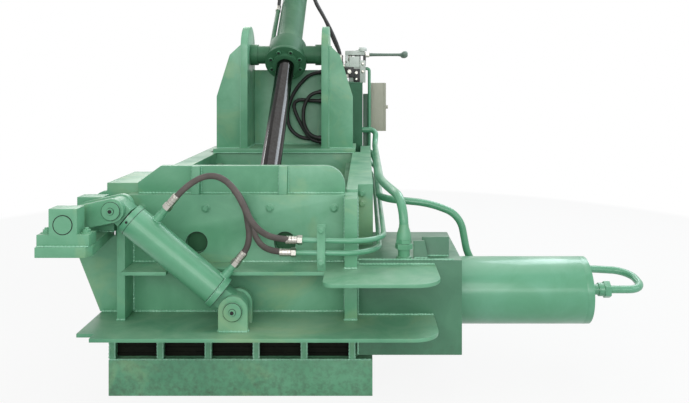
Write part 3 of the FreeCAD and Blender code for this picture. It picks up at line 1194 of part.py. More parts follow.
def turn_out_cylinder():
    """Drawn level from the base pin and then tipped up to the lever's pin."""
    tip = dict(x=CLEVIS_X, y=TURN_Y, z=CLEVIS_Z, axis=Vector(0, -1, 0),
               angle=TURN_TILT)
    start = "turn_barrel_start"
    end = "turn_barrel_end"
    ring_end = f"({start} + turn_ring_length)"
    body = turned("XY_Plane", [
        (start, "0"), (start, "turn_ring_radius"), (ring_end, "turn_ring_radius"),
        (ring_end, "turn_barrel_radius"), (end, "turn_barrel_radius"),
        (end, "turn_rod_radius + seal_gap"), (f"{end} - 18", "turn_rod_radius + seal_gap"),
        (f"{end} - 18", TURN_BORE), (ring_end, TURN_BORE), (ring_end, "0")])
    half_eye = "base_eye_width / 2"
    eye = bar("y", ("0", f"-{half_eye}", "0"), "base_eye_width", "base_eye_radius")
    shank = box(("0", start), (f"-{half_eye}", half_eye),
                ("-base_eye_radius * 0.8", "base_eye_radius * 0.8"))
    bore = bar("y", ("0", f"-{half_eye}", "0"), "base_eye_width", "turn_pin_radius + pin_gap")
    ports = []
    for along in ("port_near", "port_far"):
        ports.append(bar("z", (along, "0", "-turn_barrel_radius - port_boss"),
                         "port_boss + 5", "port_radius"))
        ports.append(bar("z", (along, "0", "-turn_barrel_radius - port_boss - fitting_length"),
                         "fitting_length", "fitting_radius"))
    keep("turn_barrel", seat(fuse(body, cut(fuse(eye, shank), bore), *ports), **tip))

    piston_end = "(turn_piston_start + turn_piston_thick)"
    rod = turned("XY_Plane", [
        ("turn_piston_start", "0"), ("turn_piston_start", f"{TURN_BORE} - seal_gap"),
        (piston_end, f"{TURN_BORE} - seal_gap"), (piston_end, "turn_rod_radius"),
        (f"{end} + 10", "turn_rod_radius"), (f"{end} + 10", "0")])
    half_width = "rod_eye_width / 2"
    eye = bar("y", (TURN_REACH, f"-{half_width}", "0"), "rod_eye_width", "rod_eye_radius")
    block = box((f"{end} + 6", TURN_REACH), (f"-{half_width}", half_width),
                ("-rod_eye_radius", "rod_eye_radius"))
    keep("turn_rod", seat(fuse(rod, eye, block), **tip))


# ---------------------------------------------------------------- power unit
def power_unit():
    pieces = []
    for side, near in ((1, DECK_INNER), (-1, f"-{DECK_INNER} - deck_width")):
        x = (near, f"{near} + deck_width")
        pieces.append(box(x, (TANK_FRONT, f"{MOTOR_END} + 10"), (DECK_BOTTOM, DECK_TOP)))
        for along in (LEG_FRONT, f"{MOTOR_END} - 70"):
            pieces.append(box(x, (along, f"{along} + deck_width"), (BASE_TOP, DECK_BOTTOM)))
    for along in (TANK_FRONT, f"{TANK_BACK} - deck_beam", f"{MOTOR_END} + 10 - deck_beam"):
        pieces.append(box((f"-{DECK_INNER}", DECK_INNER), (along, f"{along} + deck_beam"),
                          (DECK_BOTTOM, DECK_TOP)))
    pieces.append(box((f"-{DECK_INNER}", DECK_INNER), (TANK_BACK, f"{MOTOR_END} + 10"),
                      (f"{DECK_TOP} - 8", DECK_TOP)))
    for side in ("-", "+"):
        middle = f"{side} motor_radius * 0.7"
        pieces.append(box((f"{middle} - 25", f"{middle} + 25"),
                          (f"{MOTOR_FRONT} + 20", f"{MOTOR_END} - 60"),
                          (DECK_TOP, f"{MOTOR_AXIS} - motor_radius")))
    post_x = (POST_LEFT, f"{POST_LEFT} + post_width")
    cabinet_back = f"({CABINET_FRONT} + cabinet_length)"
    for front in (POST_FRONT, f"{cabinet_back} - deck_beam"):
        pieces.append(box(post_x, (front, f"{front} + deck_beam"), (DECK_BOTTOM, POST_TOP)))
    for height in (f"{CABINET_BOTTOM} + 40", f"{POST_TOP} - 40"):
        pieces.append(box((f"{POST_LEFT} + post_width", CABINET_LEFT),
                          (POST_FRONT, cabinet_back), (height, f"{height} + 30")))
    keep("power_frame", fuse(*pieces))

    shell = cut(
        box(("-tank_left", "tank_right"), (TANK_FRONT, TANK_BACK),
            (DECK_TOP, f"{TANK_TOP} - 10")),
        box(("-tank_left + tank_wall", "tank_right - tank_wall"),
            (f"{TANK_FRONT} + tank_wall", f"{TANK_BACK} - tank_wall"),
            (f"{DECK_TOP} + tank_wall", f"{TANK_TOP} - 10 - tank_wall")))
    roof = box(("-tank_left - 6", "tank_right + 3"), (f"{TANK_FRONT} - 3", f"{TANK_BACK} + 5"),
               (f"{TANK_TOP} - 10", TANK_TOP))
    filler = bar("z", ("-tank_left / 2", f"{TANK_BACK} - 100", TANK_TOP), "60", "45")
    hatch = bar("z", ("-tank_left / 3", f"{TANK_FRONT} + 130", TANK_TOP), "12", "110")
    keep("oil_tank", fuse(shell, roof, filler, hatch))

    body = bar("y", ("0", MOTOR_FRONT, MOTOR_AXIS), "motor_length - 70", "motor_radius")
    cowl = bar("y", ("0", f"{MOTOR_END} - 70", MOTOR_AXIS), "70", "motor_radius + 4")
    feet = box(("-motor_radius", "motor_radius"), (f"{MOTOR_FRONT} + 20", f"{MOTOR_END} - 60"),
               (f"{MOTOR_AXIS} - motor_radius", f"{MOTOR_AXIS} - motor_radius + 30"))
    terminals = box(("-60", "60"), (f"{MOTOR_FRONT} + 60", f"{MOTOR_FRONT} + 190"),
                    (f"{MOTOR_AXIS} + motor_radius - 10", f"{MOTOR_AXIS} + motor_radius + 55"))
    keep("pump_motor", fuse(body, cowl, feet, terminals))
    bell = bar("y", ("0", f"{MOTOR_FRONT} - 80", MOTOR_AXIS), "80", "motor_radius * 0.8")
    pump = bar("y", ("0", TANK_BACK, MOTOR_AXIS), f"{MOTOR_FRONT} - 80 - {TANK_BACK}",
               "motor_radius * 0.5")
    keep("hydraulic_pump", fuse(bell, pump))

    cabinet_right = f"({CABINET_LEFT} + cabinet_depth)"
    door_back = f"({cabinet_right} - door_thick)"
    cabinet_top = f"({CABINET_BOTTOM} + cabinet_height)"
    knuckle_x = f"({cabinet_right} - door_thick / 2)"
    knuckle_y = f"({cabinet_back} + door_thick / 2)"
    outer = box((CABINET_LEFT, door_back), (CABINET_FRONT, cabinet_back),
                (CABINET_BOTTOM, cabinet_top))
    inner = box((f"{CABINET_LEFT} + 3", door_back), (f"{CABINET_FRONT} + 3", f"{cabinet_back} - 3"),
                (f"{CABINET_BOTTOM} + 3", f"{cabinet_top} - 3"))
    straps = []
    fixed = []
    for height in (f"{CABINET_BOTTOM} + 30", f"{CABINET_BOTTOM} + cabinet_height - 50"):
        fixed.append(box((f"{door_back} - 12", f"{knuckle_x} - 4"),
                         (cabinet_back, f"{knuckle_y}"), (height, f"{height} + 9.5")))
        fixed.append(bar("z", (knuckle_x, knuckle_y, height), "9.5", "door_thick * 0.4"))
        straps.append(box((f"{knuckle_x} - 5", f"{knuckle_x} + 5"),
                          (f"{cabinet_back} - 4", knuckle_y), (f"{height} + 10", f"{height} + 20")))
        straps.append(bar("z", (knuckle_x, knuckle_y, f"{height} + 10"), "10",
                          "door_thick * 0.4"))
    keep("cabinet_box", fuse(cut(outer, inner), *fixed))
    panel = box((f"{door_back} + 0.5", cabinet_right), (CABINET_FRONT, cabinet_back),
                (CABINET_BOTTOM, cabinet_top))
    handle_at = (cabinet_right, f"{CABINET_FRONT} + 24", f"{CABINET_BOTTOM} + cabinet_height / 2")
    handle = bar("x", handle_at, "12", "11")
    keep("cabinet_door", fuse(panel, handle, *straps))


# ---------------------------------------------------------------- control valve
def control_valve():
    right = VALVE_RIGHT
    top = VALVE_TOP
    pieces = [box(("valve_left + 20", f"{right} - 20"), (f"{VALVE_FRONT} + 4",
                  f"{VALVE_FRONT} + 4 * section_pitch - 6"), (TANK_TOP, VALVE_BOTTOM))]
    hub = "(hand_lever_radius + 3)"
    for step in range(4):
        near = f"({VALVE_FRONT} + {step} * section_pitch)"
        middle = f"({near} + section_pitch / 2 - 1)"
        pieces.append(box(("valve_left", right), (near, f"{near} + section_pitch - 2"),
                          (VALVE_BOTTOM, top)))
        pieces.append(box(("valve_left + 10", f"{right} - 10"),
                          (f"{near} + section_pitch - 2", f"{near} + section_pitch"),
                          (f"{VALVE_BOTTOM} + 8", f"{top} - 8")))
        pieces.append(bar("z", ("valve_left + 30", middle, top), "34", "13"))
        pieces.append(bar("z", (f"{right} - 38", middle, top), "62", "15"))
        pieces.append(box((f"{right} - 5", f"{PIVOT_X} - {hub} - 1"),
                          (f"{middle} - 16", f"{middle} + 16"), (f"{top} - 29", f"{PIVOT_Z} + 12")))
        for cheek in (f"{middle} - 16", f"{middle} + 10"):
            pieces.append(box((f"{PIVOT_X} - {hub} - 4", f"{PIVOT_X} + 8"),
                              (cheek, f"{cheek} + 6"),
                              (f"{PIVOT_Z} - 13", f"{PIVOT_Z} + 12")))
        pieces.append(bar("y", (PIVOT_X, f"{middle} - 16", PIVOT_Z), "32", "5"))
        boss = bar("y", (PIVOT_X, f"{middle} - 9", PIVOT_Z), "18", hub)
        rod = bar("x", (f"{PIVOT_X} + 7", middle, PIVOT_Z), "hand_lever_length",
                  "hand_lever_radius")
        knob = bar("x", (f"{PIVOT_X} + hand_lever_length", middle, PIVOT_Z),
                   "2 * knob_radius", "knob_radius")
        bore = bar("y", (PIVOT_X, f"{middle} - 9", PIVOT_Z), "18",
                   "5 + pin_gap")
        keep(f"hand_lever_{step + 1}", cut(fuse(boss, rod, knob), bore))
    for along in (f"{VALVE_FRONT} + 10", f"{VALVE_FRONT} + 70"):
        pieces.append(bar("x", ("valve_left - 25", along, f"{VALVE_BOTTOM} + 53"), "35", "9"))
        pieces.append(bar("z", ("valve_left - 25", along, f"{VALVE_BOTTOM} + 41"), "24", "12"))
    keep("valve_body", fuse(*pieces))


# ---------------------------------------------------------------- pipes and hoses
def pipes_and_hoses():
    """Pipes follow the pieces that hold them; a hose hangs free from where its origin is."""
    shelf = worked_out(MID_SHELF)
    front = worked_out(CLAMP_Y)
    pin = worked_out(CLEVIS_X)
    beside = worked_out(GIRDER_RIGHT)
    tank_front = worked_out(TANK_FRONT)
    tank_side = number("tank_right")
    valve_side = worked_out(VALVE_RIGHT)
    valve_port = worked_out(VALVE_BOTTOM) + 40
    tubes("turn_pipes", [
        [(pin + 207, front, shelf + 101.6), (beside + 34, front, shelf + 96),
         (beside + 34, tank_front + 65, shelf + 96), (tank_side + 40, tank_front + 135, shelf + 136),
         (tank_side + 40, tank_front + 135, valve_port),
         (valve_side, tank_front + 135, valve_port)],
        [(pin + 187, front, shelf + 61.6), (beside + 19, front, shelf + 58),
         (beside + 19, tank_front + 45, shelf + 58), (tank_side + 40, tank_front + 110, shelf + 91),
         (tank_side + 40, tank_front + 110, valve_port),
         (valve_side, tank_front + 110, valve_port)],
    ], number("thin_pipe_radius"))
    side_end = worked_out(SIDE_END)
    box_top = worked_out(BOX_TOP)
    inlet = worked_out(FRONT) - 65
    tubes("thick_pipe", [
        [(side_end - 192, inlet, box_top), (side_end - 192, inlet, box_top + 196),
         (beside + 27, inlet + 282, box_top + 222), (beside + 27, tank_front + 15, box_top + 222),
         (tank_side + 78, tank_front + 75, box_top + 306),
         (tank_side, tank_front + 75, box_top + 306)],
    ], number("thick_pipe_radius"))
    rear = worked_out(CHANNEL_BACK)
    axis = worked_out(RAM_AXIS)
    axis_y = worked_out(SIDE_AXIS_Y)
    port = worked_out(SIDE_BARREL_END) + number("side_cap_thick") + number("side_union_length")
    tubes("side_pipe", [
        [(tank_side, tank_front + 35, box_top + 186), (tank_side + 52, tank_front + 35, box_top + 186),
         (beside + 29, tank_front - 25, box_top + 136), (beside + 29, rear + 60, box_top + 136),
         (side_end - 218, rear, box_top + 134), (side_end - 73, rear, box_top + 121),
         (side_end + 46, rear, box_top + 74), (side_end + 73, rear, axis + 96),
         (side_end + 112, rear, axis + 38), (port - 24, rear, axis + 36),
         (port + 126, rear, axis + 26), (port + 126, axis_y, axis), (port, axis_y, axis)],
    ], number("mid_pipe_radius"))

    turn_pin = (pin, worked_out(TURN_Y), worked_out(CLEVIS_Z))
    hose = number("hose_radius")
    gap = number("hose_gap")
    tubes("turn_hose_rod", [
        [(-220.6, 0, 310.4), (-188.7, 0, 348.9), (-144, 0, 390), (-93, -4, 416),
         (-41, -14, 411), (7, -30, 370), (35, -40, 316), (57, -36, 270),
         (93, -13, 228), (145, 22, 205.9), (207, 22, 204.6)],
    ], hose, turn_pin, gap)
    tubes("turn_hose_cap", [
        [(-5.1, 0, 131.6), (16.6, 0, 157.8), (37, -2, 186), (44, -5, 226), (39, -8, 270),
         (32, -9, 310), (2, 16, 352), (-19, 58, 360), (-13, 100, 344), (7, 122, 298),
         (30, 119, 240), (47, 100, 194), (79, 64, 169), (133, 22, 165.3), (187, 22, 164.6)],
    ], hose, turn_pin, gap)

    behind = (0, worked_out(BACK), 0)
    tubes("lid_hose_rod", [
        [(-85, 429, 1444.2), (-85, 485, 1487.7), (-83, 512, 1588), (-30, 512, 1650),
         (49, 506, 1652), (104, 492, 1594), (124, 466, 1500), (180, 448, 1410),
         (226, 430, 1322), (260, 412, 1240), (275, 400, 1190), (275, 400, 1140)],
    ], hose, behind, gap)
    tubes("lid_hose_cap", [
        [(108, 630.7, 1575.3), (108, 596, 1548.4), (132, 558, 1492), (170, 520, 1428),
         (206, 492, 1350), (236, 470, 1272), (275, 460, 1196), (275, 460, 1140)],
    ], hose, behind, gap)
    tubes("tower_hoses", [
        [(190, 212, 1092), (128, 212, 1092), (55, 212, 1025), (6, 212, 940), (-12, 212, 853),
         (6, 212, 780), (60, 212, 736), (130, 212, 728), (190, 212, 728)],
        [(190, 188, 936), (120, 188, 936), (62, 188, 946), (27, 188, 922), (38, 188, 872),
         (70, 188, 808), (104, 188, 748), (145, 188, 716), (190, 188, 716)],
        [(190, 164, 985), (135, 164, 985), (92, 164, 930), (80, 164, 858), (92, 164, 790),
         (135, 164, 738), (190, 164, 738)],
    ], hose, behind, gap)


def pipe_clamp():
    x = ("clamp_x - 13", "clamp_x + 13")
    thin = "thin_pipe_radius"
    rear = box(x, (f"{CLAMP_Y} + {thin}", f"{CLAMP_Y} + {thin} + 6"), (MID_SHELF, "clamp_top"))
    front = box(x, (f"{CLAMP_Y} - {thin} - 6", f"{CLAMP_Y} - {thin}"),
                (f"{MID_SHELF} + 20", "clamp_top"))
    bolts = [
        bar("y", ("clamp_x", f"{CLAMP_Y} - {thin} - 12", height), f"2 * {thin} + 18", "6")
        for height in ("clamp_top - 14", f"{MID_SHELF} + 32")
    ]
    keep("pipe_clamp", fuse(rear, front, *bolts))


base()
front_wall()
side_walls()
shelves_and_ribs()
main_ram()
side_ram()
tower()
lid_cylinder()
lid()
turn_out_tray()
turn_out_bearings()
turn_out_lever()
turn_out_cylinder()
power_unit()
control_valve()
pipes_and_hoses()
pipe_clamp()
doc.recompute()

# ---------------------------------------------------------------- checks and files
for thing in doc.Objects:
    if "Invalid" in thing.State or "Error" in thing.State:
        raise RuntimeError(f"{thing.Name} {thing.Label} did not build")
for label, thing in NODES.items():
    if thing.Shape.isNull() or not thing.Shape.isValid() or not thing.Shape.Solids:
        raise RuntimeError(f"{label} has no sound shape")
os.makedirs("parts", exist_ok=True)
for label, thing in NODES.items():
    thing.Shape.exportStep(f"parts/{label}.step")
print(len(NODES), "files written")
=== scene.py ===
"""Looks of the scrap-metal baler: bevelled plates, weld beads, hoses, valve and finishes."""
import json
import math
import random

import bmesh
import bpy
from mathutils import Matrix, Vector

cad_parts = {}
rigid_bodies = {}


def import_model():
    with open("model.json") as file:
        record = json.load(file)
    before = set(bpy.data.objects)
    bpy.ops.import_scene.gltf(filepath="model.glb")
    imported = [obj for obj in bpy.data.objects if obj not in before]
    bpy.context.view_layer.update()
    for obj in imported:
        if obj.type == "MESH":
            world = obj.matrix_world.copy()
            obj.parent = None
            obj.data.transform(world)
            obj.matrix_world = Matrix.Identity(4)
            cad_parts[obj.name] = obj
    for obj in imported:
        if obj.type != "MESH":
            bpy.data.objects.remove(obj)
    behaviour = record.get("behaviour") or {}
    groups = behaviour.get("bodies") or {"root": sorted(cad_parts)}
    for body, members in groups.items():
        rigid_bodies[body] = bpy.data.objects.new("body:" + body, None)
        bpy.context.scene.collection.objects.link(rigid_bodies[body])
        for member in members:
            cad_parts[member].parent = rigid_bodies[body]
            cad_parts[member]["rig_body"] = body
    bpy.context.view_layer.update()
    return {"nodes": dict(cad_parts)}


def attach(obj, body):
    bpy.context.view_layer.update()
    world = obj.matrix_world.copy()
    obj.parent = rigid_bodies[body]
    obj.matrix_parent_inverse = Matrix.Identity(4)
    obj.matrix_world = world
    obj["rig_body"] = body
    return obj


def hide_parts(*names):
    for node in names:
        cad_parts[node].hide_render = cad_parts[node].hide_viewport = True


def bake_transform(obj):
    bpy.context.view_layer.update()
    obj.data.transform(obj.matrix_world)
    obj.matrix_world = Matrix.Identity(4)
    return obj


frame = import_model()
nodes = frame["nodes"]
rng = random.Random(7)
scene = bpy.context.scene

MM = 0.001

# the photo's size and, in its pixels, the focal length and the point that lies level ahead
PHOTO_WIDE, PHOTO_HIGH = 689, 403
FOCAL = 711
AHEAD_U, AHEAD_V = 365, 78
SENSOR = 36

# places that several pieces share, in mm
FRONT = -660                               # outer face of the front plate
FRONT_HOLES = (-153, 145)
FRONT_HOLE_Z = 505
RAM_Z = 284                                # height of both rams' axes
BAY_PITCH = 160                            # short ribs under the lower shelf
TRAY_SHAFT_X, TRAY_SHAFT_Z = -481, 624
LEVER_PIN_X, LEVER_PIN_Z = -371, 648
CLEVIS_X, CLEVIS_Z = 5, 336
TURN_PIN_FACE = -864                       # front of both turn-out pins
LID_PIN_Y, LID_PIN_Z = -60, 574
TRUNNION_Y, TRUNNION_Z = 725, 1183
VALVE_PITCH = 42
LEVER_X, LEVER_Z = 432, 1195               # pivots of the hand levers
MOTOR_Z = 665
HOSE_RADIUS = 10
TOWER_EAR_X = 190                          # where the tower's hoses end


# ---------------------------------------------------------------- camera and lamps
camera_data = bpy.data.cameras.new("camera")
camera = bpy.data.objects.new("camera", camera_data)
scene.collection.objects.link(camera)
camera.location = (0.415, -3.06, 1.06)
camera.rotation_euler = (math.radians(90), 0, 0)
camera_data.sensor_width = SENSOR
camera_data.lens = FOCAL / PHOTO_WIDE * SENSOR
camera_data.shift_x = (PHOTO_WIDE / 2 - AHEAD_U) / PHOTO_WIDE
camera_data.shift_y = (AHEAD_V - PHOTO_HIGH / 2) / PHOTO_WIDE
camera_data.clip_end = 60
scene.camera = camera


def srgb(r, g, b):
    """A colour given in 0..255 as the shader wants it."""
    def linear(c):
        c /= 255
        return c / 12.92 if c <= 0.04045 else ((c + 0.055) / 1.055) ** 2.4
    return (linear(r), linear(g), linear(b), 1)


def area(name, where, target, size, power, colour=(1, 1, 1)):
    """A rectangular lamp that looks at a target and isn't seen itself."""
    data = bpy.data.lights.new(name, "AREA")
    data.shape = "RECTANGLE"
    data.size, data.size_y = size
    data.energy = power
    data.color = colour
    lamp = bpy.data.objects.new(name, data)
    lamp.location = where
    lamp.rotation_euler = (Vector(target) - Vector(where)).to_track_quat("-Z", "Y").to_euler()
    lamp.visible_camera = False
    scene.collection.objects.link(lamp)


area("overhead", (0.6, -0.6, 4.2), (0.3, 0.2, 0), (4.0, 3.4), 50)
area("front", (-0.6, -5.4, 2.7), (0.1, -0.6, 0.4), (5.0, 2.4), 120, (1, 0.99, 0.97))
area("front_low", (1.8, -5.4, 1.45), (0.9, -0.5, 0.35), (4.6, 1.0), 55, (0.96, 0.98, 1))
area("right_side", (4.2, -1.6, 2.4), (0.4, 0, 0.7), (1.6, 2.6), 30, (0.93, 0.97, 1))
area("rod_strip", (2.1, 1.8, 3.3), (0, 0.3, 0.85), (1.5, 2.2), 66, (0.82, 0.92, 1))
area("rear", (-1.5, 4.6, 3.2), (0, 1, 0.6), (3, 2), 60)


# ---------------------------------------------------------------- materials
class Nodes:
    """A short way to write shader nodes. A key such as _1 is the number of an input."""

    def __init__(self, tree):
        self.tree = tree

    def feed(self, socket, value):
        if isinstance(value, bpy.types.NodeSocket):
            self.tree.links.new(value, socket)
        else:
            socket.default_value = value

    def add(self, kind, **inputs):
        node = self.tree.nodes.new(kind)
        for name, value in inputs.items():
            self.feed(node.inputs[int(name[1:]) if name[0] == "_" else name], value)
        return node

    def noise(self, where, scale, detail=4.0, rough=0.55, distortion=0.0):
        return self.add("ShaderNodeTexNoise", Vector=where, Scale=scale, Detail=detail,
                        Roughness=rough, Distortion=distortion).outputs["Fac"]

    def ramp(self, value, stops):
        node = self.add("ShaderNodeValToRGB", Fac=value)
        line = node.color_ramp.elements
        while len(line) < len(stops):
            line.new(0.5)
        for element, (at, colour) in zip(line, stops):
            element.position = at
            element.color = colour
        return node.outputs["Color"]

    def span(self, value, low, high, to_low=0.0, to_high=1.0):
        return self.add("ShaderNodeMapRange", _0=value, _1=low, _2=high, _3=to_low,
                        _4=to_high).outputs[0]

    def mix(self, factor, one, two):
        """Mix two colours; 6, 7 and 2 are the colour sockets of the Mix node."""
        node = self.tree.nodes.new("ShaderNodeMix")
        node.data_type = "RGBA"
        for number, value in ((0, factor), (6, one), (7, two)):
            self.feed(node.inputs[number], value)
        return node.outputs[2]

    def math(self, way, one, two=0.0):
        node = self.add("ShaderNodeMath", _0=one, _1=two)
        node.operation = way
        return node.outputs[0]

    def seen_rays(self):
        """1 for the camera's rays and for what metal and glass show, 0 for light that falls."""
        rays = self.tree.nodes.new("ShaderNodeLightPath").outputs
        return self.math("MAXIMUM", rays["Is Camera Ray"],
                         self.math("MAXIMUM", rays["Is Glossy Ray"], rays["Is Transmission Ray"]))


def material(name):
    """A new material with its shader, and the place on the object in metres."""
    made = bpy.data.materials.new(name)
    made.use_nodes = True
    tree = made.node_tree
    tree.nodes.clear()
    kit = Nodes(tree)
    shader = tree.nodes.new("ShaderNodeBsdfPrincipled")
    end = tree.nodes.new("ShaderNodeOutputMaterial")
    tree.links.new(shader.outputs[0], end.inputs[0])
    where = tree.nodes.new("ShaderNodeTexCoord").outputs["Object"]
    return made, kit, shader, where


def finish_with(kit, shader, colour, rough, bump, metallic=0.0, coat=0.0, coat_rough=0.25,
                shine=0.5):
    kit.tree.links.new(colour, shader.inputs["Base Color"])
    kit.tree.links.new(rough, shader.inputs["Roughness"])
    shader.inputs["Metallic"].default_value = metallic
    shader.inputs["Coat Weight"].default_value = coat
    shader.inputs["Coat Roughness"].default_value = coat_rough
    shader.inputs["Specular IOR Level"].default_value = shine
    kit.tree.links.new(bump, shader.inputs["Normal"])


def bumps(kit, *layers):
    """Stacked bump heights: (height, strength, distance)."""
    normal = None
    for height, strength, distance in layers:
        node = kit.add("ShaderNodeBump", Height=height, Strength=strength, Distance=distance)
        if normal:
            kit.tree.links.new(normal, node.inputs["Normal"])
        normal = node.outputs[0]
    return normal


def paint(name, deep, base, pale, warm_tone_and_light=None, gloss=0.42, worn=0.0, coat=0.12, coat_rough=0.25,
          shine=0.5):
    """Brushed and sprayed machine enamel: uneven cover, runs, paler patches on top, chips down to
    steel.
    """
    made, kit, shader, where = material(name)
    broad = kit.noise(where, 1.7, 3, 0.5)
    cloudy = kit.noise(where, 7.0, 5, 0.6, 0.6)
    fine = kit.noise(where, 60.0, 6, 0.65)
    peel = kit.noise(where, 420.0, 2, 0.5)
    both = kit.math("ADD", kit.math("MULTIPLY", broad, 0.55), kit.math("MULTIPLY", cloudy, 0.45))
    colour = kit.ramp(both, [(0.32, deep), (0.5, base), (0.68, pale)])
    # random patches of a paler, warmer green: partly uneven paint, partly painted warm light
    if warm_tone_and_light:
        patch = kit.span(kit.noise(where, 3.1, 4, 0.6, 1.2), 0.53, 0.68)
        colour = kit.mix(kit.math("MULTIPLY", patch, 0.5), colour, warm_tone_and_light)
    # level faces paler in cloudy patches, and grime low down
    level = kit.add("ShaderNodeSeparateXYZ", Vector=kit.tree.nodes.new("ShaderNodeNewGeometry")
                    .outputs["Normal"]).outputs["Z"]
    level_pale = kit.math("MULTIPLY", kit.span(level, 0.7, 1.0), kit.span(cloudy, 0.35, 0.7, 0.05, 0.32))
    colour = kit.mix(level_pale, colour, srgb(168, 186, 160))
    height = kit.add("ShaderNodeSeparateXYZ", Vector=where).outputs["Z"]
    low = kit.math("MULTIPLY", kit.span(height, 0.24, 0.0), kit.span(fine, 0.42, 0.7, 0.0, 0.6))
    colour = kit.mix(low, colour, srgb(62, 66, 52))
    chips = kit.span(kit.noise(where, 34.0, 8, 0.72), 0.73 - worn, 0.75 - worn)
    colour = kit.mix(chips, colour, srgb(96, 92, 82))
    specks = kit.span(kit.noise(where, 190.0, 3, 0.6), 0.74, 0.80, 0.0, 0.5)
    colour = kit.mix(specks, colour, pale)
    rough = kit.span(both, 0.3, 0.7, gloss + 0.12, gloss - 0.06)
    bump = bumps(kit, (cloudy, 0.22, 0.004), (fine, 0.12, 0.0012), (peel, 0.10, 0.0004),
                 (chips, -0.3, 0.0004))
    finish_with(kit, shader, colour, rough, bump, 0.0, coat, coat_rough, shine)
    return made


def metal(name, colour, shade, rough, grain, rust=0.0, strength=0.1):
    """Bare or plated steel with fine marks along one direction."""
    made, kit, shader, where = material(name)
    stretched = kit.add("ShaderNodeMapping", Vector=where, Scale=grain).outputs[0]
    lines = kit.noise(stretched, 90.0, 4, 0.6)
    cloud = kit.noise(where, 14.0, 5, 0.6)
    mixed = kit.mix(kit.span(lines, 0.3, 0.7), colour, shade)
    mixed = kit.mix(kit.span(cloud, 0.5, 0.75, 0.0, 0.45), mixed, shade)
    if rust:
        spots = kit.span(kit.noise(where, 24.0, 8, 0.7, 0.4), 0.62 - rust, 0.74 - rust)
        mixed = kit.mix(spots, mixed, srgb(112, 70, 44))
    roughness = kit.span(lines, 0.25, 0.75, rough - 0.05, rough + 0.08)
    finish_with(kit, shader, mixed, roughness, bumps(kit, (lines, strength, 0.0006)), metallic=1.0)
    return made


def dull(name, colour, shade, rough, scale=160.0, strength=0.25, depth=0.0008, shine=0.5):
    """Rubber, moulded plastic and castings."""
    made, kit, shader, where = material(name)
    fine = kit.noise(where, scale, 5, 0.65)
    cloud = kit.noise(where, 11.0, 4, 0.6)
    mixed = kit.mix(kit.span(cloud, 0.35, 0.7), colour, shade)
    mixed = kit.mix(kit.span(fine, 0.55, 0.8, 0.0, 0.5), mixed, shade)
    finish_with(kit, shader, mixed, kit.span(fine, 0.3, 0.7, rough, rough + 0.12),
                bumps(kit, (fine, strength, depth)), shine=shine)
    return made


# the last colour is the warm patches' green, partly painted warm light
GREEN = paint("green_enamel", srgb(76, 136, 104), srgb(92, 153, 118), srgb(112, 170, 137),
              srgb(140, 170, 124))
# painted shade: a darker copy of the green for the ram boxes, the power frame, the tank and its
# fittings, and the main end cap
GREEN_SHADED = paint("green_enamel_shaded", srgb(46, 94, 68), srgb(57, 109, 81),
                   srgb(73, 126, 96))
GREEN_CYLINDER = paint("green_enamel_glossy", srgb(74, 138, 102), srgb(84, 150, 114),
                       srgb(98, 162, 130), gloss=0.38, coat=0.3, coat_rough=0.1)
# painted shade: a darker copy of the green for the lid cylinder's barrel and gland
GREEN_LIFT_SHADED = paint("green_enamel_lift_shaded", srgb(48, 92, 65), srgb(57, 103, 74), srgb(69, 117, 88),
                   gloss=0.45, coat=0.0, shine=0.25)
# painted shade: a darker green for the floors of the front plate's holes
GREEN_HOLE_SHADE = paint("green_enamel_hole_shade", srgb(36, 72, 48), srgb(46, 88, 60), srgb(58, 102, 72),
                     gloss=0.6, coat=0.0, shine=0.2)
GREEN_SCRAPED = paint("green_enamel_scraped", srgb(56, 100, 74), srgb(70, 122, 92),
                      srgb(92, 142, 110), worn=0.12, gloss=0.5)
# painted highlight: the beads in a paler green than the plates, for the light on their ripples
BEAD_HIGHLIGHTED = paint("weld_bead_enamel_highlighted", srgb(96, 158, 126), srgb(120, 180, 148), srgb(160, 206, 180),
             gloss=0.26, coat=0.4)
CHROME = metal("chrome_rod", srgb(62, 62, 62), srgb(50, 48, 47), 0.1, (1, 1, 1), strength=0.01)
STEEL = metal("machined_steel", srgb(186, 188, 188), srgb(128, 128, 126), 0.34, (1, 1, 8))
WEAR = metal("scraped_floor", srgb(120, 112, 100), srgb(72, 64, 56), 0.5, (1, 12, 1), rust=0.1,
             strength=0.3)
ZINC = metal("zinc_fitting", srgb(206, 204, 196), srgb(150, 148, 140), 0.3, (8, 8, 1))
HOSE = dull("hose_cover", srgb(94, 86, 82), srgb(62, 56, 53), 0.6, 240.0, 0.5, 0.001)
HOSE_BLACK = dull("hose_cover_black", srgb(30, 30, 28), srgb(18, 18, 18), 0.5, 240.0, 0.4, 0.001)
CASTING = dull("silver_casting", srgb(208, 214, 208), srgb(160, 166, 160), 0.4, 260.0, 0.35)
BLACK = dull("black_moulding", srgb(30, 30, 30), srgb(18, 18, 18), 0.4)
KNOB = dull("lever_knob", srgb(110, 130, 118), srgb(92, 110, 100), 0.45)
CABINET = paint("cabinet_enamel", srgb(158, 158, 140), srgb(170, 168, 152), srgb(182, 178, 164),
                gloss=0.5)
MOTOR = paint("motor_enamel", srgb(52, 86, 100), srgb(64, 100, 116), srgb(80, 118, 132),
              gloss=0.45)
# dark lines at gaps and grooves, and painted shade in screw sockets and on the holes' rims
DARK_GAP_AND_SHADE = dull("dark_gap_and_shade", srgb(22, 24, 22), srgb(12, 14, 12), 0.7)
# painted shade: near-black sheets for the bays under the lower shelf
BAY_SHADE = dull("bay_painted_shade", srgb(20, 22, 14), srgb(9, 12, 8), 0.7, 60.0, 0.6, 0.003, 0.15)


# ---------------------------------------------------------------- floor and sky
# round the machine, out to these radii in metres, some of the floor's own shade and so the
# shadow shows through its white
SHADOW_CENTRE = (0.3, 0.6, 0.0)
SHADOW_INNER, SHADOW_OUTER = 1.7, 3.2
SHADOW_WHITE = 0.9


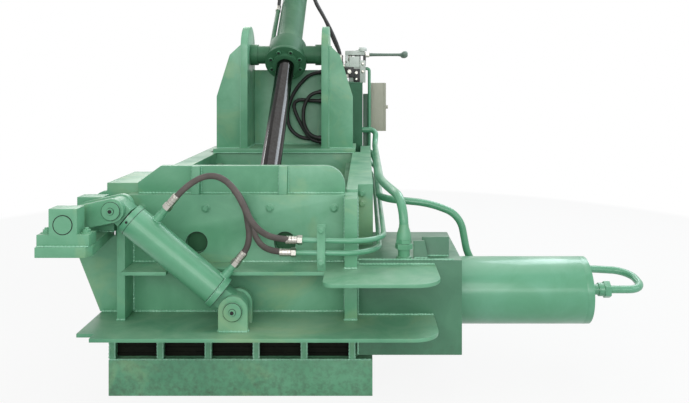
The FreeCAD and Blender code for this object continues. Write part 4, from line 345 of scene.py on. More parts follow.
def floor_and_sky():
    """White surroundings for what is seen, a soft sky for light, and a pale floor."""
    world = bpy.data.worlds.new("sky")
    scene.world = world
    world.use_nodes = True
    tree = world.node_tree
    tree.nodes.clear()
    kit = Nodes(tree)
    soft = kit.add("ShaderNodeBackground", Color=(0.93, 0.96, 1, 1), Strength=0.4)
    white = kit.add("ShaderNodeBackground", Color=(1, 1, 1, 1), Strength=1.0)
    both = kit.add("ShaderNodeMixShader", Fac=kit.seen_rays(), _1=soft.outputs[0],
                   _2=white.outputs[0])
    end = tree.nodes.new("ShaderNodeOutputWorld")
    tree.links.new(both.outputs[0], end.inputs[0])

    mesh = bpy.data.meshes.new("studio_floor")
    mesh.from_pydata([(-9, -7, 0), (9, -7, 0), (9, 11, 0), (-9, 11, 0)], [], [(0, 1, 2, 3)])
    ground = bpy.data.objects.new("studio_floor", mesh)
    scene.collection.objects.link(ground)
    made, kit, shader, where = material("pale_floor")
    grain = kit.span(kit.noise(where, 40.0, 4, 0.6), 0.3, 0.7)
    kit.feed(shader.inputs["Base Color"],
             kit.mix(grain, srgb(196, 196, 194), srgb(202, 202, 200)))
    shader.inputs["Roughness"].default_value = 0.8
    shader.inputs["Specular IOR Level"].default_value = 0.1
    glow = kit.add("ShaderNodeEmission", Color=(1, 1, 1, 1), Strength=1.0)
    flat = kit.add("ShaderNodeVectorMath", _0=where, _1=SHADOW_CENTRE)
    flat.operation = "DISTANCE"
    far = kit.span(flat.outputs["Value"], SHADOW_INNER, SHADOW_OUTER)
    some = kit.math("MULTIPLY", kit.seen_rays(), kit.math("MAXIMUM", far, SHADOW_WHITE))
    both = kit.add("ShaderNodeMixShader", Fac=some, _1=shader.outputs[0], _2=glow.outputs[0])
    end = next(n for n in kit.tree.nodes if n.type == "OUTPUT_MATERIAL")
    kit.tree.links.new(both.outputs[0], end.inputs[0])
    mesh.materials.append(made)


floor_and_sky()


# ---------------------------------------------------------------- mesh helpers
SAME_POINT = 2e-5                          # metres
SHORT_EDGE = 0.0008
FLAT_ANGLE = math.radians(0.6)
SHARP_ANGLE = math.radians(32)


def place(name, bm, finish, body, stands_for=(), smooth=35):
    """Turn a bmesh that is in metres into a piece that rides on a body."""
    mesh = bpy.data.meshes.new(name)
    bmesh.ops.recalc_face_normals(bm, faces=bm.faces)
    bm.to_mesh(mesh)
    bm.free()
    mesh.materials.append(finish)
    for face in mesh.polygons:
        face.use_smooth = True
    mesh.set_sharp_from_angle(angle=math.radians(smooth))
    thing = bpy.data.objects.new(name, mesh)
    scene.collection.objects.link(thing)
    if stands_for:
        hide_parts(*stands_for)
    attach(thing, body)
    return thing


def skin(node, finish, bevel=1.6):
    """The node's own shape with its sharp edges broken, as on flame-cut and ground plate."""
    source = nodes[node]
    bm = bmesh.new()
    bm.from_mesh(source.data)
    bmesh.ops.remove_doubles(bm, verts=bm.verts, dist=SAME_POINT)
    bmesh.ops.dissolve_limit(bm, angle_limit=FLAT_ANGLE, verts=bm.verts, edges=bm.edges)
    sharp = [e for e in bm.edges if len(e.link_faces) == 2
             and e.calc_face_angle(0) > SHARP_ANGLE]
    long_enough = [e for e in sharp if e.calc_length() > SHORT_EDGE]
    if bevel and long_enough:
        bmesh.ops.bevel(bm, geom=long_enough, offset=bevel * MM, offset_type="OFFSET",
                        segments=2, profile=0.6, affect="EDGES", clamp_overlap=True)
    return place(node + "_skin", bm, finish, source["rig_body"], [node], 28)


def ring_of(centre, across, along, radius, count):
    """Points of a circle round an axis."""
    up = along.cross(across).normalized()
    return [centre + (across * math.cos(2 * math.pi * i / count)
                      + up * math.sin(2 * math.pi * i / count)) * radius
            for i in range(count)]


def join_rings(bm, rings, closed=False):
    """Quads from ring to ring, with a cap at each end or, where closed, back to the first."""
    count = len(rings[0])
    for one, two in zip(rings, rings[1:] + rings[:1] if closed else rings[1:]):
        for i in range(count):
            j = (i + 1) % count
            bm.faces.new((one[i], one[j], two[j], two[i]))
    if not closed:
        bm.faces.new(list(reversed(rings[0])))
        bm.faces.new(rings[-1])


def lathe(bm, start, along, profile, count=32, hollow=False):
    """Spin (distance, radius) pairs, in mm, round an axis from start (mm)."""
    along = Vector(along).normalized()
    across = along.orthogonal().normalized()
    rings = []
    for distance, radius in profile:
        centre = (Vector(start) + along * distance) * MM
        rings.append([bm.verts.new(p)
                      for p in ring_of(centre, across, along, max(radius, 0.01) * MM, count)])
    join_rings(bm, rings, hollow)


def hoop(bm, start, along, inner, outer, height, count=40):
    """A flat ring, in mm, as a groove's or an edge's dark line."""
    lathe(bm, start, along, ((0, inner), (height, inner), (height, outer), (0, outer)), count,
          hollow=True)


def hexagon(bm, start, along, radius, length, chamfer=1.2, turn=0.0):
    """A hexagon head or nut with chamfered corners, in mm."""
    along = Vector(along).normalized()
    across = along.orthogonal().normalized()
    up = along.cross(across)
    angles = [turn + 2 * math.pi * i / 6 for i in range(6)]
    rings = []
    for distance, size in ((0, radius), (length - chamfer, radius),
                           (length, radius - chamfer * 1.4)):
        centre = Vector(start) + along * distance
        rings.append([bm.verts.new((centre + (across * math.cos(angle) + up * math.sin(angle))
                                    * size) * MM) for angle in angles])
    join_rings(bm, rings)


def block(bm, low, high, bevel=1.0):
    """A box in mm with broken edges."""
    size = [(b - a) * MM for a, b in zip(low, high)]
    centre = [(a + b) / 2 * MM for a, b in zip(low, high)]
    made = bmesh.ops.create_cube(bm, size=1, matrix=Matrix.Translation(centre)
                                 @ Matrix.Diagonal((*size, 1)))
    edges = {e for v in made["verts"] for e in v.link_edges}
    if bevel:
        bmesh.ops.bevel(bm, geom=list(edges), offset=bevel * MM, segments=2, profile=0.6,
                        affect="EDGES", clamp_overlap=True)


beads = {}
RIPPLE_STEP = 1.9                          # mm
RIPPLE_SIDES = 6
JITTER = 0.22                              # mm


def weld(*points, size=3.4, body="machine"):
    """A run of overlapping weld ripples along straight seams, in mm."""
    bm = beads.setdefault(body, bmesh.new())
    for start, end in zip(points, points[1:]):
        start, end = Vector(start), Vector(end)
        along = (end - start).normalized()
        length = (end - start).length
        across = along.orthogonal().normalized()
        count = max(2, int(length / RIPPLE_STEP))
        before = None
        swell = rng.random() * 6
        for i in range(count + 1):
            reach = i / count
            ripple = 0.78 + 0.5 * abs(math.sin(i * 0.52)) + 0.12 * math.sin(i * 0.11 + swell)
            ripple *= 0.25 if i in (0, count) else 1.0
            jitter = Vector([rng.gauss(0, JITTER) for _ in range(3)])
            centre = (start.lerp(end, reach) + jitter) * MM
            ring = [bm.verts.new(p) for p in ring_of(centre, across, along, size * ripple * MM,
                                                     RIPPLE_SIDES)]
            if before:
                for k in range(RIPPLE_SIDES):
                    j = (k + 1) % RIPPLE_SIDES
                    bm.faces.new((before[k], before[j], ring[j], ring[k]))
            before = ring


def weld_ring(centre, along, radius, size=3.0, body="machine"):
    """A weld all round a tube, in mm."""
    along = Vector(along).normalized()
    across = along.orthogonal().normalized()
    up = along.cross(across)
    count = max(12, int(radius * math.radians(360) / 9))
    points = []
    for i in range(count + 1):
        angle = math.radians(360 * i / count)
        out = across * math.cos(angle) + up * math.sin(angle)
        points.append(tuple(Vector(centre) + out * radius))
    weld(*points, size=size, body=body)


# ---------------------------------------------------------------- plates and cylinders
for name in ("base_frame", "front_plate", "front_liner", "front_arch", "left_wall", "right_wall",
             "back_wall", "mid_shelf", "lower_shelf", "front_ribs", "lower_ribs", "tower_base",
             "tower_ears", "tower_wings", "bearing_table", "bearing_blocks", "turn_lever",
             "pipe_clamp"):
    skin(name, GREEN)
# painted shade: these parts take the darker copy of the green
for name in ("main_ram_box", "side_ram_box", "power_frame", "oil_tank", "main_end_cap"):
    skin(name, GREEN_SHADED)
for name in ("main_barrel", "turn_barrel"):
    skin(name, GREEN_CYLINDER, 1.2)
for name in ("side_barrel", "side_end_cap"):
    skin(name, GREEN_CYLINDER, 0.3)
# painted shade: the lid cylinder in the darker copy of the green
for name in ("lid_barrel", "lid_gland"):
    skin(name, GREEN_LIFT_SHADED, 1.2)
for name in ("lid_frame", "main_ram_head", "side_ram_head"):
    skin(name, GREEN_SCRAPED)
skin("floor_liner", WEAR)

# the tray's plate is bare steel, its arms and its upper edge are green
tray = skin("turn_tray", WEAR).data
tray.materials.append(GREEN)
for face in tray.polygons:
    face.material_index = 0 if face.center.x > -0.353 and face.center.z < 0.66 else 1

# the turn-out cylinder's axis, from its base pin towards the lever, and square to it
TURN_TILT = math.radians(140.315)
TURN_ALONG = Vector((math.cos(TURN_TILT), 0, math.sin(TURN_TILT)))
TURN_UP = Vector((math.sin(TURN_TILT), 0, -math.cos(TURN_TILT)))
TURN_BASE = Vector((CLEVIS_X, -802, CLEVIS_Z))
TURN_EYE_FROM = 0.4455                     # in metres from the base pin

for name in ("main_rod", "side_rod", "lid_rod", "turn_rod"):
    rod = skin(name, CHROME, 1.0).data
    if name == "turn_rod":
        rod.materials.append(GREEN)
        for face in rod.polygons:
            if (face.center - TURN_BASE * MM).dot(TURN_ALONG) > TURN_EYE_FROM:
                face.material_index = 1
for name in ("lid_hinge_pins", "lid_pin"):
    skin(name, STEEL, 1.2)
for name in ("tray_shaft", "clevis_pin"):
    skin(name, GREEN, 1.2)
skin("cabinet_box", CABINET, 1.2)
skin("cabinet_door", CABINET, 2.0)


# ---------------------------------------------------------------- weld seams
def seams():
    """Fillets where the plates meet, read off the photo's beaded lines."""
    # mid shelf and lower shelf along the front plate
    weld((-364, FRONT - 2, 441), (-222, FRONT - 2, 441))
    weld((-12, FRONT - 2, 441), (345, FRONT - 2, 441))
    weld((392, -694, 441), (648, -694, 441))
    weld((-364, FRONT - 2, 425), (-222, FRONT - 2, 425))
    weld((-473, FRONT - 2, 274), (-395, FRONT - 2, 274))
    weld((-363, FRONT - 2, 274), (345, FRONT - 2, 274))
    weld((391, -696, 274), (643, -696, 274))
    weld((-470, FRONT - 2, 258), (385, FRONT - 2, 258))
    # ribs
    for x in (-394, -365):
        weld((x, FRONT - 2, 276), (x, FRONT - 2, 596))
    for x in (346, 390):
        weld((x, FRONT - 2, 276), (x, FRONT - 2, 424))
        weld((x, FRONT - 2, 443), (x, FRONT - 2, 660))
    weld((-395, -747, 274), (-364, -747, 274))
    weld((345, -747, 274), (391, -747, 274))
    weld((345, -747, 441), (391, -747, 441))
    for step in range(6):
        x = -435 + BAY_PITCH * step
        weld((x - 2, -689, 124), (x - 2, -689, 256), size=2.8)
        weld((x + 16, -689, 124), (x + 16, -689, 256), size=2.8)
    # arch, gussets, front edge
    weld((-359, -632, 668), (345, -632, 668), size=2.8)
    for x in (-160, 137):
        weld((x - 16, -632, 670), (x - 16, -632, 756), size=2.6)
        weld((x + 16, -632, 670), (x + 16, -632, 756), size=2.6)
    # bearing table
    weld((-560, -956, 560.5), (-418, -956, 560.5), size=2.2)
    weld((-438, -662, 527), (-562, -662, 527))
    weld((-436, -662, 560), (-392, -662, 560))
    for front, back in ((-954, -894), (-744, -684)):
        weld((-558, front - 1, 561), (-404, front - 1, 561), size=2.4)
        weld((-558, back + 1, 561), (-404, back + 1, 561), size=2.4)
    # clevis ears
    for y in (-857, -747):
        weld((-40, y, 274), (50, y, 274), size=3)
    for x in (-42, 52):
        weld((x, -855, 274), (x, -836, 274), size=3)
    # side ram box
    weld((391, -693, 456), (712, -693, 456), size=2.6)
    weld((392, -695, 140), (392, -695, 452), size=2.6)
    weld_ring((739, -450, RAM_Z), (1, 0, 0), 120, 3.6)
    weld((579, -673, 456), (627, -673, 456), size=2.4)
    weld((609, -641, 456), (700, -641, 456), size=2.4)
    # tower
    for side in (1, -1):
        weld((side * 189, 604, 699), (side * 189, 830, 699))
        weld((side * 228, 635, 699), (side * 228, 846, 699))
        weld((side * 228, 613, 700), (side * 228, 613, 1230), size=2.8)
        weld((side * 230, 613, 699), (side * 350, 613, 699), size=2.8)
    weld((-362, 589, 676), (362, 589, 676), size=2.8)
    weld((-186, 831, 699), (186, 831, 699))
    weld_ring((0, TRUNNION_Y + 0.7901 * 61, TRUNNION_Z + 0.613 * 61), (0, 0.7901, 0.613), 72, 3.2,
              "lid_barrel")
    # walls and boxes at the back
    for side in (1, -1):
        weld((side * 392, 642, 140), (side * 392, 642, 450), size=3)
        weld((side * 188, 642, 458), (side * 188, 848, 458), size=2.8)
    weld_ring((0, 1061, RAM_Z), (0, 1, 0), 151, 3.6)
    weld_ring((0, 2061, RAM_Z), (0, 1, 0), 149, 3.0)
    weld((-388, 1036, 456), (388, 1036, 456), size=2.6)
    # base
    for x in (441, -441):
        for y in (-200, 1400):
            weld((x, y - 44, 16), (x, y + 44, 16), size=3.2)
    weld((-437, -688, 121), (437, -688, 121), size=3)
    # power unit
    for x in (-407, 343, -343, 407):
        for y in (1100, 1880):
            weld((x, y, 122), (x, y + 60, 122), size=2.6)
    # lid
    for x in (-304, 317, -182, -198, 182, 198, -36, 36):
        weld((x, -585, 477), (x, 460, 477), size=2.4, body="lid")
    for y in (-419, -402, 304, 320):
        for low, high in ((-302, -200), (-180, -64), (64, 180), (200, 315)):
            weld((low, y, 477), (high, y, 477), size=2.2, body="lid")
    # tray
    for y in (-598, -463, -437, -330):
        weld((-382, y, 562), (-382, y, 648), size=2.4, body="tray")
    # turn-out barrel: ring and ports
    weld_ring(TURN_BASE + TURN_ALONG * 81, TURN_ALONG, 51, 2.2, "turn_barrel")
    for reach in (88, 368):
        weld_ring(TURN_BASE + TURN_ALONG * reach + TURN_UP * 50, TURN_UP, 15.5, 2.2, "turn_barrel")


seams()


# ---------------------------------------------------------------- bolts
def bolt(bm, where, along, radius=10.5, height=8.5, turn=0.3):
    """A hexagon head on a washer, in mm."""
    where, along = Vector(where), Vector(along)
    lathe(bm, where, along,
          ((0, radius * 1.45), (2.2, radius * 1.45), (2.6, radius * 1.36)), 24)
    hexagon(bm, where + along * 2.4, along, radius, height, 1.4, turn)


def bolts():
    """Bolts of the front wall, the right girder and the bearing housings."""
    bm = bmesh.new()
    for step in range(4):
        bolt(bm, (-338 + 216 * step, FRONT, 621), (0, -1, 0), turn=0.3 + step)
    for z in (641, 605):
        bolt(bm, (404, -480, z), (0, -1, 0), 9.5)
    for front in (-954, -744, -292):
        for x in (-541, -421):
            if front == -292 and x == -421:
                continue
            bolt(bm, (x, front + 30, 595), (0, 0, 1), 12, 9)
            lathe(bm, (x, front + 30, 603), (0, 0, 1), ((0, 6.5), (7, 6.5), (8.5, 5)), 16)
    place("bolt_heads", bm, GREEN, "machine", ["hex_bolts"])


bolts()


def pin_caps():
    """Keeper discs with a socket screw on both turn-out pins."""
    y = TURN_PIN_FACE
    lever, lever_dark = bmesh.new(), bmesh.new()
    root, root_dark = bmesh.new(), bmesh.new()
    for bm, dark, x, z in ((lever, lever_dark, LEVER_PIN_X, LEVER_PIN_Z),
                           (root, root_dark, CLEVIS_X, CLEVIS_Z)):
        lathe(bm, (x, y, z), (0, -1, 0), ((0, 28), (3, 28), (4.2, 26.5)), 40)
        lathe(bm, (x, y - 4, z), (0, -1, 0), ((0, 10.5), (4, 10.5), (5, 9.5)), 20)
        # painted shade: a dark hexagon on the screw's head where its socket's hollow lies in shade
        hexagon(dark, (x, y - 8.7, z), (0, -1, 0), 6.6, 0.9, 0.1)
        hoop(dark, (x, y - 0.4, z), (0, -1, 0), 28, 29.4, 1.2)
        hoop(dark, (x, y - 4, z), (0, -1, 0), 10.5, 11.6, 0.8)
    place("lever_keeper", lever, GREEN, "tray")
    place("lever_keeper_socket", lever_dark, DARK_GAP_AND_SHADE, "tray")
    place("clevis_keeper", root, GREEN, "machine")
    place("clevis_keeper_socket", root_dark, DARK_GAP_AND_SHADE, "machine")


pin_caps()


def rims_and_grooves():
    """The shaft's end with its dark line, the front plate's holes with painted shade on their rims
    and floors, the cylinder's grooves.
    """
    cap = bmesh.new()
    lathe(cap, (TRAY_SHAFT_X, -953.4, TRAY_SHAFT_Z), (0, -1, 0), ((0, 27), (1.6, 27)), 40)
    place("shaft_end", cap, GREEN, "tray")
    dark, recess = bmesh.new(), bmesh.new()
    hoop(dark, (TRAY_SHAFT_X, -953.6, TRAY_SHAFT_Z), (0, -1, 0), 27.3, 29.8, 0.9)
    for x in FRONT_HOLES:
        # painted shade: a dark ring on each hole's rim and a darker disc on its floor
        hoop(dark, (x, -659.6, FRONT_HOLE_Z), (0, -1, 0), 34.6, 36.6, 1)
        lathe(recess, (x, -640.4, FRONT_HOLE_Z), (0, -1, 0), ((0, 34.8), (0.8, 34.8)), 40)
    place("dark_rims", dark, DARK_GAP_AND_SHADE, "machine")
    place("hole_floors", recess, GREEN_HOLE_SHADE, "machine")
    dark = bmesh.new()
    for reach, outer in ((60.6, 54.2), (83.5, 50.5), (421, 50.5)):
        hoop(dark, TURN_BASE + TURN_ALONG * reach, TURN_ALONG, 49.6, outer, 1.5)
    lathe(dark, TURN_BASE + TURN_ALONG * 431 + Vector((0, -49.7, 0)), (0, -1, 0),
          ((0, 4.2), (0.9, 4.2)), 16)
    place("turn_grooves", dark, DARK_GAP_AND_SHADE, "turn_barrel")


rims_and_grooves()


def gland_screws():
    """The lid cylinder's gland is held by eight socket screws on washers."""
    tilt = math.atan2(TRUNNION_Z - LID_PIN_Z, TRUNNION_Y - LID_PIN_Y)
    along = Vector((0, -math.cos(tilt), -math.sin(tilt)))
    side = Vector((1, 0, 0))
    up = Vector((0, -math.sin(tilt), math.cos(tilt)))
    trunnion = Vector((0, TRUNNION_Y, TRUNNION_Z))
    heads, dark = bmesh.new(), bmesh.new()
    for step in range(8):
        angle = math.radians(22.5 + 45 * step)
        centre = trunnion + along * 89 + (side * math.cos(angle) + up * math.sin(angle)) * 81
        # painted shade: a dark hexagon on each head where its socket's hollow lies in shade
        hexagon(dark, centre - along * 0.3, along, 7.4, 0.9, 0.1)
        lathe(heads, centre - along * 3, along, ((0, 11.6), (2, 11.6), (2.4, 11)), 20)
    place("gland_sockets", dark, DARK_GAP_AND_SHADE, "lid_barrel")
    place("gland_washers", heads, GREEN, "lid_barrel")


gland_screws()


def bays():
    """Dark ribbed sheets that close the five bays between the short ribs: painted shade in the
    bays under the lower shelf.
    """
    bm = bmesh.new()
    for step in range(5):
        low, high = -419 + BAY_PITCH * step, -277 + BAY_PITCH * step
        block(bm, (low, -663, 123), (high, -660.5, 257), 0)
        for ridge in range(7):
            z = 131 + 19 * ridge + rng.uniform(-2, 2)
            block(bm, (low, -667, z), (high, -662, z + 6), 1.8)
    place("bay_shade_sheets", bm, BAY_SHADE, "machine")


bays()


# ---------------------------------------------------------------- pipes, hoses, fittings
def route_line(name, points):
    """A smooth line on the points of a route, in mm."""
    data = bpy.data.curves.new(name, "CURVE")
    data.dimensions = "3D"
    line = data.splines.new("NURBS")
    line.points.add(len(points) - 1)
    for knot, where in zip(line.points, points):
        knot.co = (*(c * MM for c in where), 1)
    line.order_u = 3
    line.use_endpoint_u = True
    line.resolution_u = 10
    thing = bpy.data.objects.new(name, data)
    scene.collection.objects.link(thing)
    return thing


def fixed_hose(name, points, finish, body, stands_for):
    """A smooth hose that keeps its route, in mm."""
    thing = route_line(name, points)
    data = thing.data
    data.bevel_depth = HOSE_RADIUS * MM
    data.bevel_resolution = 8
    data.use_fill_caps = True
    data.materials.append(finish)
    if stands_for:
        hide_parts(*stands_for)
    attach(thing, body)
    return thing


def hose_end(bm_zinc, bm_nut, at, away):
    """A crimped ferrule and its swivel nut where a hose leaves a fitting, in mm."""
    at, away = Vector(at), Vector(away).normalized()
    hexagon(bm_nut, at - away * 2, away, HOSE_RADIUS * 1.55, 17, 1.5, 0.4)
    lathe(bm_zinc, at + away * 14, away, [(reach, HOSE_RADIUS * share) for reach, share in (
        (0, 0.8), (1, 0.8), (1.4, 1.3), (7, 1.3), (7.4, 1.1), (9, 1.1), (9.4, 1.3), (17, 1.3),
        (17.4, 1.15), (19, 1.15), (19.4, 1.3), (27, 1.3), (27.4, 1.18), (29, 1.18),
        (29.4, 1.32), (36, 1.28), (38, 1.1))], 24)


# the routes' points, in mm, as the hoses' tubes have them
TURN_ROD_ROUTE = [
    (-215.6, -802, 646.4), (-183.7, -802, 684.9), (-139, -802, 726), (-88, -806, 752),
    (-36, -816, 747), (12, -832, 706), (40, -842, 652), (62, -838, 606), (98, -815, 564),
    (150, -780, 541.9), (212, -780, 540.6)]
TURN_CAP_ROUTE = [
    (-0.1, -802, 467.6), (21.6, -802, 493.8), (42, -804, 522), (49, -807, 562), (44, -810, 606),
    (37, -811, 646), (7, -786, 688), (-14, -744, 696), (-8, -702, 680), (12, -680, 634),
    (35, -683, 576), (52, -702, 530), (84, -738, 505), (138, -780, 501.3), (192, -780, 500.6)]
LID_ROD_ROUTE = [
    (-85, 1029, 1444.2), (-85, 1085, 1487.7), (-83, 1112, 1588), (-30, 1112, 1650),
    (49, 1106, 1652), (104, 1092, 1594), (124, 1066, 1500), (180, 1048, 1410), (226, 1030, 1322),
    (260, 1012, 1240), (275, 1000, 1190), (275, 1000, 1140)]
LID_CAP_ROUTE = [
    (108, 1230.7, 1575.3), (108, 1196, 1548.4), (132, 1158, 1492), (170, 1120, 1428),
    (206, 1092, 1350), (236, 1070, 1272), (275, 1060, 1196), (275, 1060, 1140)]
TOWER_ROUTES = [
    [(190, 812, 1092), (128, 812, 1092), (55, 812, 1025), (6, 812, 940), (-12, 812, 853),
     (6, 812, 780), (60, 812, 736), (130, 812, 728), (190, 812, 728)],
    [(190, 788, 936), (120, 788, 936), (62, 788, 946), (27, 788, 922), (38, 788, 872),
     (70, 788, 808), (104, 788, 748), (145, 788, 716), (190, 788, 716)],
    [(190, 764, 985), (135, 764, 985), (92, 764, 930), (80, 764, 858), (92, 764, 790),
     (135, 764, 738), (190, 764, 738)]]


def bent_hose(name, points, radius, finish, stands_for):
    """A hose between a swinging cylinder and the machine, drawn as one fixed tube along its route.
    """
    line = route_line(name + "_line", points)
    path = [v.co.copy() for v in bpy.data.meshes.new_from_object(line).vertices]
    bpy.data.objects.remove(line)
    bm = bmesh.new()
    across = (path[1] - path[0]).orthogonal().normalized()
    rings = []
    for i, centre in enumerate(path):
        along = (path[min(i + 1, len(path) - 1)] - path[max(i - 1, 0)]).normalized()
        across = (across - along * across.dot(along)).normalized()
        rings.append([bm.verts.new(p)
                      for p in ring_of(centre, across, along, radius * MM, 20)])
    join_rings(bm, rings)
    mesh = bpy.data.meshes.new(name)
    bmesh.ops.recalc_face_normals(bm, faces=bm.faces)
    bm.to_mesh(mesh)
    bm.free()
    mesh.materials.append(finish)
    for face in mesh.polygons:
        face.use_smooth = True
    thing = bpy.data.objects.new(name, mesh)
    scene.collection.objects.link(thing)
    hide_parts(stands_for)
    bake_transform(thing)


def pipes_and_hoses():
    """Steel pipes, the four hoses of the swinging cylinders and the tower's three."""
    for name in ("turn_pipes", "thick_pipe", "side_pipe"):
        pipe = skin(name, GREEN_CYLINDER, 0).data
        if name == "side_pipe":
            pipe.materials.append(HOSE_BLACK)
            for face in pipe.polygons:
                face.material_index = int(face.center.z > 0.77)
    for name, route, finish, barrel, length, spread in (
            ("turn_hose_rod", TURN_ROD_ROUTE, HOSE, "turn_barrel", 0.579, (-165, 130)),
            ("turn_hose_cap", TURN_CAP_ROUTE, HOSE, "turn_barrel", 0.677, (30, 130)),
            ("lid_hose_rod", LID_ROD_ROUTE, HOSE_BLACK, "lid_barrel", 0.901, (-70, 245)),
            ("lid_hose_cap", LID_CAP_ROUTE, HOSE_BLACK, "lid_barrel", 0.516, (113, 262))):
        bent_hose("bent_" + name, route, HOSE_RADIUS, finish, name)
        for body, at, nearby in ((barrel, route[0], route[1]), ("machine", route[-1], route[-2])):
            zinc, nuts = bmesh.new(), bmesh.new()
            hose_end(zinc, nuts, at, Vector(nearby) - Vector(at))
            place(f"{name}_ferrule_{body}", zinc, ZINC, body)
            place(f"{name}_nut_{body}", nuts, ZINC, body)
    glands = bmesh.new()
    for i, (route, length) in enumerate(zip(TOWER_ROUTES, (0.614, 0.450, 0.379))):
        hose = fixed_hose(f"tower_hose_{i + 1}", route, HOSE_BLACK, "machine",
                          [] if i else ["tower_hoses"])
        for at in (route[0], route[-1]):
            lathe(glands, (TOWER_EAR_X, at[1], at[2]), (-1, 0, 0),
                  ((0, 15), (4, 15), (5, 13), (22, 13), (24, 11.5)), 24)
    place("tower_hose_glands", glands, BLACK, "machine")
    # union on the thick pipe and bolts of the thin pipes' clamp
    bm = bmesh.new()
    lathe(bm, (546, -665, 454), (0, 0, 1), ((0, 26), (6, 26), (8, 20), (34, 20)), 32)
    hexagon(bm, (546, -665, 486), (0, 0, 1), 30, 18, 2)
    hexagon(bm, (546, -665, 505), (0, 0, 1), 27, 14, 2, 0.5)
    lathe(bm, (546, -665, 518), (0, 0, 1), ((0, 25), (18, 24), (40, 17), (50, 16)), 32)
    for z in (574, 471):
        bolt(bm, (275, -798, z), (0, -1, 0), 8, 6)
    place("pipe_nuts", bm, GREEN, "machine")


pipes_and_hoses()


# ---------------------------------------------------------------- power unit
def valve():
    """Sub-plate, four sections with caps and fittings, tie rods and the hand levers."""
    body, black, zinc = bmesh.new(), bmesh.new(), bmesh.new()
    block(body, (322, 994, 1040), (388, 1152, 1076), 3)
    block(body, (302, 988, 1190), (414, 1150, 1216), 4)
    block(body, (386, 981, 1034), (418, 991, 1160), 2.5)
    block(body, (302, 983, 1126), (318, 990, 1190), 2)
    block(body, (326, 984, 1120), (382, 990, 1182), 2)
    block(black, (300, 981, 1062), (352, 990, 1122), 2)
    block(black, (350, 982, 1034), (386, 990, 1112), 2)
    for x, z, reach in ((326, 1096, 11), (312, 1072, 8), (366, 1090, 8), (366, 1054, 6)):
        lathe(zinc, (x, 984, z), (0, -1, 0),
              ((0, reach), (6, reach), (7, reach * 0.6), (16, reach * 0.6)), 18)
        hexagon(zinc, (x, 983, z), (0, -1, 0), reach * 1.2, 6, 1)
    for z in (1140, 1096):
        lathe(zinc, (402, 982, z), (0, -1, 0), ((0, 9), (3, 9), (4, 7)), 20)
    lathe(body, (402, 996, 1214), (0, 0, 1), ((0, 24), (14, 24), (18, 20), (20, 20)), 28)
    for step in range(4):
        y = 990 + VALVE_PITCH * step
        middle = y + 20
        block(body, (300, y, 1077), (410, y + 40, 1157), 3.5)
        block(body, (312, y + 39, 1086), (398, y + 43, 1148), 1)
        lathe(body, (300, middle, 1100), (-1, 0, 0), ((0, 15), (5, 15), (6, 13), (9, 13)), 24)
        lathe(zinc, (330, middle, 1157), (0, 0, 1),
              ((0, 13), (10, 13), (11, 11), (24, 11), (34, 8)), 20)
        hexagon(zinc, (330, middle, 1160), (0, 0, 1), 15.5, 12, 1.5)
        lathe(body, (372, middle, 1157), (0, 0, 1),
              ((0, 17), (26, 17), (30, 14), (58, 14), (62, 11)), 24)
        lathe(black, (372, middle, 1186), (0, 0, 1), ((0, 17.2), (9, 17.2)), 24)
        block(black, (404, middle - 16, 1132), (420, middle + 16, 1206), 2.5)
        for cheek in (middle - 16, middle + 10):
            block(zinc, (417, cheek, 1182), (440, cheek + 6, 1207), 1.5)
        lathe(zinc, (LEVER_X, middle - 19, LEVER_Z), (0, 1, 0),
              ((0, 6), (3, 6), (3, 5), (36, 5), (38, 4)), 16)
        for x in (310, 400):
            for z in (1088, 1146):
                lathe(zinc, (x, y - 1.5, z), (0, -1, 0), ((0, 5), (2, 5), (2.5, 4)), 12)
        block(body, (341, middle - 10, 1157), (357, middle + 10, 1168), 2)
    for y in (1000, 1060):
        lathe(zinc, (300, y, 1128), (-1, 0, 0), ((0, 12), (6, 12), (6, 9), (27, 9)), 20)
        lathe(zinc, (275, y, 1116), (0, 0, 1), ((0, 10), (2, 12), (20, 12), (24, 11)), 20)
    for x in (306, 404):
        for z in (1084, 1150):
            lathe(zinc, (x, 986, z), (0, 1, 0), ((0, 4.5), (178, 4.5)), 10)
            hexagon(zinc, (x, 1157.5, z), (0, 1, 0), 8, 6, 1)
            hexagon(zinc, (x, 989, z), (0, -1, 0), 8, 6, 1)
    place("valve_casting", body, CASTING, "machine", ["valve_body"])
    place("valve_black_parts", black, BLACK, "machine")
    place("valve_zinc_parts", zinc, ZINC, "machine")
    for step in range(4):
        middle = 1010 + VALVE_PITCH * step
        rod = bmesh.new()
        lathe(rod, (LEVER_X, middle - 9, LEVER_Z), (0, 1, 0),
              ((0, 10), (1, 11), (17, 11), (18, 10)), 24)
        lathe(rod, (440, middle, LEVER_Z), (1, 0, 0), (
            (0, 7), (8, 8), (20, 7), (120, 6), (172, 6.2), (184, 8.6), (188, 13), (194, 17.2),
            (202, 19), (210, 18.8), (216, 16), (219.5, 9)), 28)
        place(f"lever_{step + 1}", rod, KNOB, f"hand_lever_{step + 1}",
              [f"hand_lever_{step + 1}"])


def fin(bm, out, side):
    """One cooling rib along the motor, which tapers outwards."""
    corners = []
    for y in (1638, 1858):
        for reach, half in ((104, 1.8), (124, 1.8 * 0.6)):
            for thin in (-half, half):
                centre = Vector((0, y, MOTOR_Z))
                corners.append(bm.verts.new((centre + out * reach + side * thin) * MM))
    a, b, c, d, e, f, g, h = corners
    for quad in ((a, b, d, c), (e, g, h, f), (a, e, f, b), (c, d, h, g), (a, c, g, e),
                 (b, f, h, d)):
        bm.faces.new(quad)


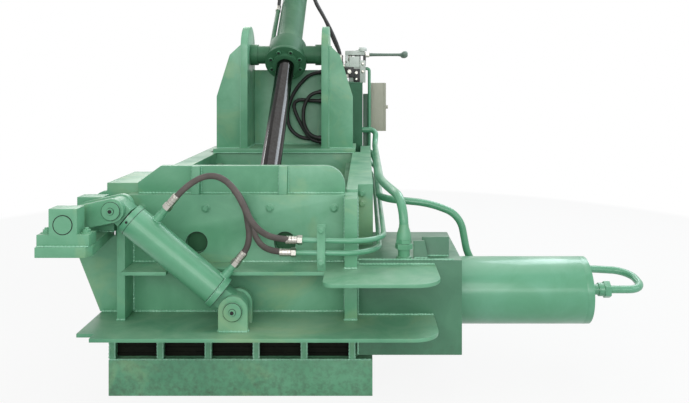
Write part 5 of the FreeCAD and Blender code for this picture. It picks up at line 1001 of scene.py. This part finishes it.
def motor():
    """Finned motor with its feet, terminal box and cowl, and the pump on its bell housing."""
    bm = bmesh.new()
    lathe(bm, (0, 1610, MOTOR_Z), (0, 1, 0), (
        (0, 60), (2, 104), (16, 110), (18, 114), (26, 116), (26, 105), (250, 105), (250, 112),
        (262, 112), (268, 106)), 48)
    for step in range(36):
        angle = math.radians(10 * step + 5)
        # no rib behind the terminal box and between the feet
        if abs(math.degrees(angle) - 90) < 32 or abs(math.degrees(angle) - 270) < 30:
            continue
        fin(bm, Vector((math.cos(angle), 0, math.sin(angle))),
            Vector((-math.sin(angle), 0, math.cos(angle))))
    block(bm, (-125, 1630, 540), (125, 1890, 556), 3)
    for x in (-100, 100):
        for y in (1650, 1830):
            block(bm, (x - 14, y, 556), (x + 14, y + 40, 600), 4)
    block(bm, (-58, 1672, 780), (58, 1798, 838), 5)
    block(bm, (-62, 1668, 836), (62, 1802, 844), 3)
    place("motor_body", bm, MOTOR, "machine", ["pump_motor"])
    bm = bmesh.new()
    lathe(bm, (0, 1878, MOTOR_Z), (0, 1, 0), (
        (0, 126), (2, 129), (54, 129), (66, 124), (70, 112), (70, 108)), 48)
    place("motor_cowl", bm, MOTOR, "machine")
    bm = bmesh.new()
    for radius in (22, 36, 50, 64, 78, 92):
        hoop(bm, (0, 1947.4, MOTOR_Z), (0, 1, 0), radius, radius + 7, 1.2, 48)
    place("motor_grille", bm, DARK_GAP_AND_SHADE, "machine")
    bm = bmesh.new()
    lathe(bm, (58, 1735, 808), (1, 0, 0), ((0, 15), (12, 15), (14, 12), (26, 12)), 20)
    for x in (-112, 112):
        for y in (1668, 1852):
            bolt(bm, (x, y, 556), (0, 0, 1), 9, 7)
    for step in range(8):
        angle = math.radians(45 * step + 22.5)
        hexagon(bm, (88 * math.cos(angle), 1606, MOTOR_Z + 88 * math.sin(angle)), (0, -1, 0),
                8, 7, 1)
    place("motor_hardware", bm, STEEL, "machine")
    bm = bmesh.new()
    lathe(bm, (0, 1530, MOTOR_Z), (0, 1, 0), (
        (0, 70), (4, 74), (12, 74), (14, 62), (50, 78), (66, 98), (80, 100)), 40)
    lathe(bm, (0, 1435, MOTOR_Z), (0, 1, 0), (
        (0, 62), (8, 62), (10, 50), (24, 50), (26, 60), (78, 60), (80, 54), (95, 54)), 40)
    block(bm, (-40, 1452, 640), (-62, 1500, 690), 3)
    block(bm, (40, 1452, 640), (62, 1500, 690), 3)
    place("pump_and_bell", bm, CASTING, "machine", ["hydraulic_pump"])


def tank_and_cabinet():
    """Filler cap, hatch bolts and side plugs of the tank, and the cabinet's latch."""
    bm, plug = bmesh.new(), bmesh.new()
    lathe(bm, (-180, 1335, 1040), (0, 0, 1),
          ((0, 52), (4, 52), (6, 44), (40, 44), (42, 47), (58, 47), (62, 42)), 36)
    for step in range(12):
        angle = math.radians(30 * step)
        hexagon(bm, (-120 + 98 * math.cos(angle), 1115 + 98 * math.sin(angle), 1052), (0, 0, 1),
                8, 6, 1)
    hexagon(bm, (-361, 1210, 560), (-1, 0, 0), 13, 4, 1)
    place("tank_fittings", bm, GREEN_SHADED, "machine")
    lathe(plug, (-361, 1300, 900), (-1, 0, 0), ((0, 12), (3, 12), (4, 10)), 24)
    place("tank_sight_bolt", plug, ZINC, "machine")
    bm = bmesh.new()
    block(bm, (539, 1190, 880), (540.8, 1212, 904), 0.6)
    lathe(bm, (540.6, 1201, 892), (1, 0, 0), ((0, 7), (0.6, 7), (1, 6)), 20)
    place("cabinet_latch", bm, BLACK, "cabinet_door")


valve()
motor()
tank_and_cabinet()
for body, bm in beads.items():
    place(f"weld_beads_{body}", bm, BEAD_HIGHLIGHTED, body, smooth=60)

scene.view_settings.view_transform = "Standard"
